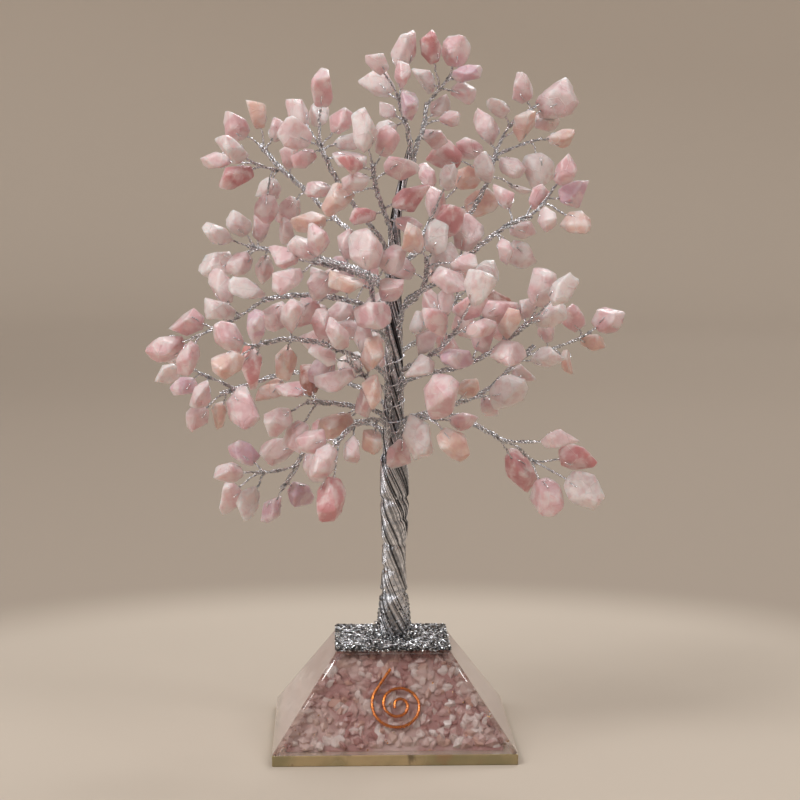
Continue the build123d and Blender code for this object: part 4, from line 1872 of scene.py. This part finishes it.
    def peeled(self, carrier: list[Vector], start: Vector, onward: Vector) -> list[Vector]:
        """Draws a line that lies in a carrier for a while and then bends away from it.

        Args:
            carrier: Centre line of the wire that carries it.
            start: Where it leaves the carrier.
            onward: The point where the bend ends.

        Returns:
            Points up to the bend's end.
        """
        number = nearest(carrier, start)
        back = max(0, number - round(self.peel / self.walk))
        return bow(carrier[back], carrier[number], onward, self.peel_steps)

    def twig_line(self, leaf: Leaf) -> list[Vector]:
        """Draws the centre line of a twig, slightly crinkled.

        Args:
            leaf: The chip and its twig.

        Returns:
            Points from where it lies in its stem to the chip.
        """
        carrier = min((stem.line for stem in self.stems), key=lambda line: gap(line, leaf.start))
        span = (leaf.root - leaf.start).length
        onward = leaf.start + leaf.along * min(span * self.twig_bend, self.twig_bend_most)
        line = self.peeled(carrier, leaf.start, onward)
        turn = Quaternion(leaf.along, self.draw.uniform(0, TURN))
        aside = turn @ leaf.along.orthogonal().normalized()
        sway = aside * self.crinkle * min(1.0, span / self.crinkle_span)
        for step in range(self.twig_steps + 1):
            share = step / self.twig_steps
            line.append(onward.lerp(leaf.root, share) + sway * math.sin(TURN * share) * (1 - share))
        return relaxed(line, 1)

    def lay_twig(self, loom: WireLoom, leaf: Leaf, stone: bpy.types.Mesh) -> None:
        """Adds a twisted pair from its stem to a chip, and the eye that grips the chip, with a short thick
        dark wire at each hole as painted shade.

        Args:
            loom: The limb's wires.
            leaf: The chip and its twig.
            stone: The chip's finished mesh.
        """
        line = self.twig_line(leaf)
        lay = self.pair_lay * self.draw.uniform(*self.lay_spread)
        lasts = loom.lay_pair(line, self.wire, lay, self.draw.uniform(0, TURN))
        points = [point.co for point in stone.vertices]
        tree = BVHTree.FromPolygons(points, [list(face.vertices) for face in stone.polygons])
        length = leaf.length()
        thin = self.thinnest(tree, leaf, length)
        ordered = sorted(lasts, key=lambda point: -(point - leaf.root).dot(thin))
        for last, side in zip(ordered, (thin, -thin)):
            grip = self.gripping(tree, leaf, last, side, length)
            loom.lay(grip, self.wire)
            # A short thick wire in the dark shade paints the shade of the drilled hole.
            loom.lay([grip[-3], grip[-3].lerp(grip[-1], 0.5), grip[-1]], self.hole_shade_wire, Shade.DARK)

    def thinnest(self, tree: BVHTree, leaf: Leaf, length: float) -> Vector:
        """Finds the direction across a chip in which it is thinnest at its eye.

        Args:
            tree: The chip's surface.
            leaf: The chip.
            length: Its length.

        Returns:
            The direction.
        """
        eye = leaf.root + leaf.along * length * self.eye
        options = sideways(leaf.along, self.eye_tries)
        widths = []
        for side in options:
            hits = [tree.ray_cast(eye + way * length, -way)[0] for way in (side, -side)]
            widths.append(sum((hit - eye).length if hit else length for hit in hits))
        return options[widths.index(min(widths))]

    def gripping(self, tree: BVHTree, leaf: Leaf, last: Vector, side: Vector, length: float) -> list[Vector]:
        """Draws a wire that lies on a chip from its twig to the drilled eye, and goes in there.

        Args:
            tree: The chip's surface.
            leaf: The chip and its twig.
            last: The wire's last point on the twig.
            side: The direction of the chip's side that it lies on.
            length: The chip's length.

        Returns:
            Its points.
        """
        points = [last]
        for share in (*self.grip_marks, self.eye):
            station = leaf.root + leaf.along * length * share
            hit = tree.ray_cast(station + side * length, -side)[0]
            if hit:
                points.append(hit + side * self.wire * self.grip_proud)
        points.append(leaf.root + leaf.along * length * (self.eye + self.eye_slant))
        return paced(relaxed(points, 1), self.grip_step)

    def struck(self, leaf: Leaf) -> bpy.types.Mesh:
        """Strikes flats off a chip, the first across its tip, and wears its edges to different roundness.

        Args:
            leaf: The chip.

        Returns:
            Its cage.
        """
        cage = leaf.chip.copy()
        size = leaf.length()
        middle = middle_of(cage)
        for number in range(self.draw.randint(*self.strikes)):
            facing = Vector([self.draw.gauss(0, 1) for _ in range(3)]).normalized()
            if number == 0:
                facing = (leaf.along + self.tip_slant * facing).normalized()
            elif facing.dot(leaf.along) < self.root_limit:
                facing = facing.reflect(leaf.along)
            reach = max((point.co - middle).dot(facing) for point in cage.verts)
            cut = middle + facing * (reach - self.draw.uniform(*self.strike_depth) * size)
            whole = [*cage.verts, *cage.edges, *cage.faces]
            made = bmesh.ops.bisect_plane(cage, geom=whole, plane_co=cut, plane_no=facing, clear_outer=True)
            rim = [item for item in made["geom_cut"] if isinstance(item, bmesh.types.BMEdge)]
            bmesh.ops.edgeloop_fill(cage, edges=rim)
        bmesh.ops.dissolve_limit(cage, angle_limit=self.merge_angle, verts=cage.verts, edges=cage.edges)
        bmesh.ops.recalc_face_normals(cage, faces=cage.faces)
        crease = cage.edges.layers.float.new("crease_edge")
        for edge in cage.edges:
            edge[crease] = self.draw.uniform(*self.creases)
        return mesh_of(cage, True)

    def tumble(self, leaf: Leaf, stone: bpy.types.Mesh) -> None:
        """Brings a rounded chip to its full size and gives it a lumpy skin.

        Args:
            leaf: The chip.
            stone: Its mesh, which is changed.
        """
        height = self.lump_height * leaf.length()
        across = self.widest(leaf)
        axes = Matrix((leaf.along, across, leaf.along.cross(across)))
        wanted, spot = self.spans(leaf.chip.verts, axes)
        got, middle = self.spans(stone.vertices, axes)
        grow = Matrix.Diagonal([want / have * more for want, have, more in zip(wanted, got, self.plump)])
        reshape = axes.transposed() @ grow @ axes
        shift = Vector([self.draw.uniform(0, self.noise_room) for _ in range(3)])
        for point in stone.vertices:
            place = spot + reshape @ (point.co - middle)
            lump = noise.noise(place / self.broad_lumps + shift)
            lump += self.fine_share * noise.noise(place / self.fine_lumps + shift)
            point.co = place + (place - spot).normalized() * lump * height

    def widest(self, leaf: Leaf) -> Vector:
        """Finds the direction across a chip in which it is widest.

        Args:
            leaf: The chip.

        Returns:
            The direction.
        """
        options = sideways(leaf.along, self.width_tries)
        spread = [[point.co.dot(option) for point in leaf.chip.verts] for option in options]
        widths = [max(levels) - min(levels) for levels in spread]
        return options[widths.index(max(widths))]

    @staticmethod
    def spans(points: list, axes: Matrix) -> tuple[list[float], Vector]:
        """Measures points along three axes.

        Args:
            points: The points of a mesh.
            axes: The axes, as rows.

        Returns:
            Their extents, and the middle of their box.
        """
        places = [axes @ point.co for point in points]
        low = [min(place[axis] for place in places) for axis in range(3)]
        high = [max(place[axis] for place in places) for axis in range(3)]
        middle = Vector([(a + b) / 2 for a, b in zip(low, high)])
        return [b - a for a, b in zip(low, high)], axes.transposed() @ middle


def rounded(cages: list[bpy.types.Mesh], levels: int) -> list[bpy.types.Mesh]:
    """Subdivides cages with worn edges.

    Args:
        cages: The meshes, which are used up.
        levels: How often they are subdivided.

    Returns:
        The finer meshes.
    """
    holders = [bpy.data.objects.new("cage", cage) for cage in cages]
    for holder in holders:
        bpy.context.scene.collection.objects.link(holder)
        worn = holder.modifiers.new("worn", "SUBSURF")
        worn.levels = levels
        worn.render_levels = levels
    ready = bpy.context.evaluated_depsgraph_get()
    fine = [bpy.data.meshes.new_from_object(holder.evaluated_get(ready)) for holder in holders]
    for holder in holders:
        bpy.data.objects.remove(holder)
    for cage in cages:
        bpy.data.meshes.remove(cage)
    return fine


class Canopy:
    """All limbs of the tree and the tints of their chips."""

    WEIGHTS = {Tone.PALE: 40, Tone.ROSE: 28, Tone.WHITE: 12, Tone.PEACH: 8, Tone.MAUVE: 7, Tone.DEEP: 5}
    PREFIX = "limb_"
    SEED = 41

    def __init__(self, trunk: Trunk) -> None:
        """Reads every limb and tints its chips.

        Args:
            trunk: The trunk that carries them.
        """
        nodes = [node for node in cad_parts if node.startswith(self.PREFIX)]
        self.limbs = [Limb(name, trunk) for name in sorted(node.removeprefix(self.PREFIX) for node in nodes)]
        draw = random.Random(self.SEED)
        leaves = [leaf for limb in self.limbs for leaf in limb.leaves]
        for leaf in leaves:
            leaf.tone = draw.choices(list(self.WEIGHTS), list(self.WEIGHTS.values()))[0]
        for tone, places in STANDOUTS.items():
            for spot in (Vector(place) * MM for place in places):
                front = min(leaves, key=lambda leaf: (middle_of(leaf.chip).xz - spot).length)
                front.tone = tone

    def build(self, palette: Palette) -> None:
        """Makes every limb."""
        for limb in self.limbs:
            limb.build(palette)


@dataclass(frozen=True)
class Lamp:
    """A soft lamp of the studio: its place and the side of its square in metres, and its power in watts."""

    name: str
    place: Triple
    side: float
    power: float


@dataclass
class Studio:
    """Pale floor that curves up all round, soft lamps and the camera."""

    floor_radius: float = 1.7
    floor_hub: float = 1 * MM
    floor_sides: int = 64
    cove: float = 0.7
    cove_steps: int = 10
    wall: float = 2.6
    aim: Triple = (0, 0, 110 * MM)
    lamps: tuple[Lamp, ...] = (
        Lamp("key", (-0.96, -0.72, 1.5), 0.7, 14.0),
        Lamp("side", (-1.5, -1.0, 0.4), 0.7, 5.5),
        Lamp("fill", (1.1, -0.9, 1.3), 0.5, 6.0),
        Lamp("rim", (0.5, 1.2, 1.3), 0.6, 8.0),
    )
    sky: float = 0.66
    sky_colour: Colour = (1, 0.985, 0.965, 1)
    camera_place: Triple = (-19.5 * MM, -699.7 * MM, 186.2 * MM)
    camera_dip: float = 6.38
    camera_turn: float = 1.81
    camera_lens: float = 100.4
    camera_near: float = 10 * MM

    def build(self, palette: Palette) -> None:
        """Makes the floor, the lamps, the sky and the camera.

        Args:
            palette: The finishes.
        """
        floor = self.placed("floor", self.floor(palette))
        for lamp in self.lamps:
            self.light(lamp)
        world = bpy.data.worlds.new("sky")
        world.use_nodes = True
        light = world.node_tree.nodes["Background"].inputs
        light["Color"].default_value = self.sky_colour
        light["Strength"].default_value = self.sky
        bpy.context.scene.world = world
        bpy.context.scene.view_settings.view_transform = "Standard"
        self.camera()

    @staticmethod
    def placed(name: str, data: bpy.types.ID) -> bpy.types.Object:
        """Adds an object to the scene.

        Args:
            name: Its name.
            data: Its mesh, lamp or camera.

        Returns:
            The object.
        """
        holder = bpy.data.objects.new(name, data)
        bpy.context.scene.collection.objects.link(holder)
        return holder

    def floor(self, palette: Palette) -> bpy.types.Mesh:
        """Makes the paper: a round floor, a cove and a wall.

        Args:
            palette: The finishes.

        Returns:
            The mesh.
        """
        solid = bmesh.new()
        arc = [math.pi / 2 * step / self.cove_steps for step in range(self.cove_steps + 1)]
        rim = [(self.floor_radius + self.cove * math.sin(a), self.cove * (1 - math.cos(a))) for a in arc]
        profile = [(self.floor_hub, 0.0), *rim, (self.floor_radius + self.cove, self.wall)]
        points = [solid.verts.new((across, 0, height)) for across, height in profile]
        edges = [solid.edges.new(pair) for pair in zip(points, points[1:])]
        bmesh.ops.spin(
            solid, geom=points + edges, cent=(0, 0, 0), axis=UP, angle=TURN, steps=self.floor_sides,
            use_merge=True,
        )
        hub = [edge for edge in solid.edges if edge.verts[0].co.z == 0]
        bmesh.ops.holes_fill(solid, edges=hub, sides=self.floor_sides)
        bmesh.ops.recalc_face_normals(solid, faces=solid.faces)
        bmesh.ops.reverse_faces(solid, faces=[face for face in solid.faces if face.normal.z < 0])
        return mesh_of(solid, True, palette.paper)

    def light(self, lamp: Lamp) -> None:
        """Adds one lamp, turned to the tree.

        Args:
            lamp: The lamp.
        """
        data = bpy.data.lights.new(lamp.name, "AREA")
        data.size = lamp.side
        data.energy = lamp.power
        holder = self.placed(lamp.name, data)
        holder.location = lamp.place
        toward = Vector(self.aim) - Vector(lamp.place)
        holder.rotation_euler = toward.to_track_quat("-Z", "Y").to_euler()
        holder.visible_camera = False

    def camera(self) -> None:
        """Adds the camera at the height and turn from which the tree was seen."""
        data = bpy.data.cameras.new("camera")
        data.lens = self.camera_lens
        data.clip_start = self.camera_near
        holder = self.placed("camera", data)
        holder.location = self.camera_place
        holder.rotation_euler = (math.radians(90 - self.camera_dip), 0, math.radians(-self.camera_turn))
        bpy.context.scene.camera = holder


def main() -> None:
    """Builds the tree from its foot up, then the studio."""
    logging.basicConfig(level=logging.INFO, format="%(name)s: %(message)s")
    palette = Palette()
    trunk = Trunk()
    FootSlab().build(palette)
    ClearBlock().build(palette)
    CopperSpiral().build(palette)
    GlitterBed(trunk).build(palette)
    trunk.build(palette)
    Canopy(trunk).build(palette)
    Studio().build(palette)
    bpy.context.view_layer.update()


if __name__ == "__main__":
    main()
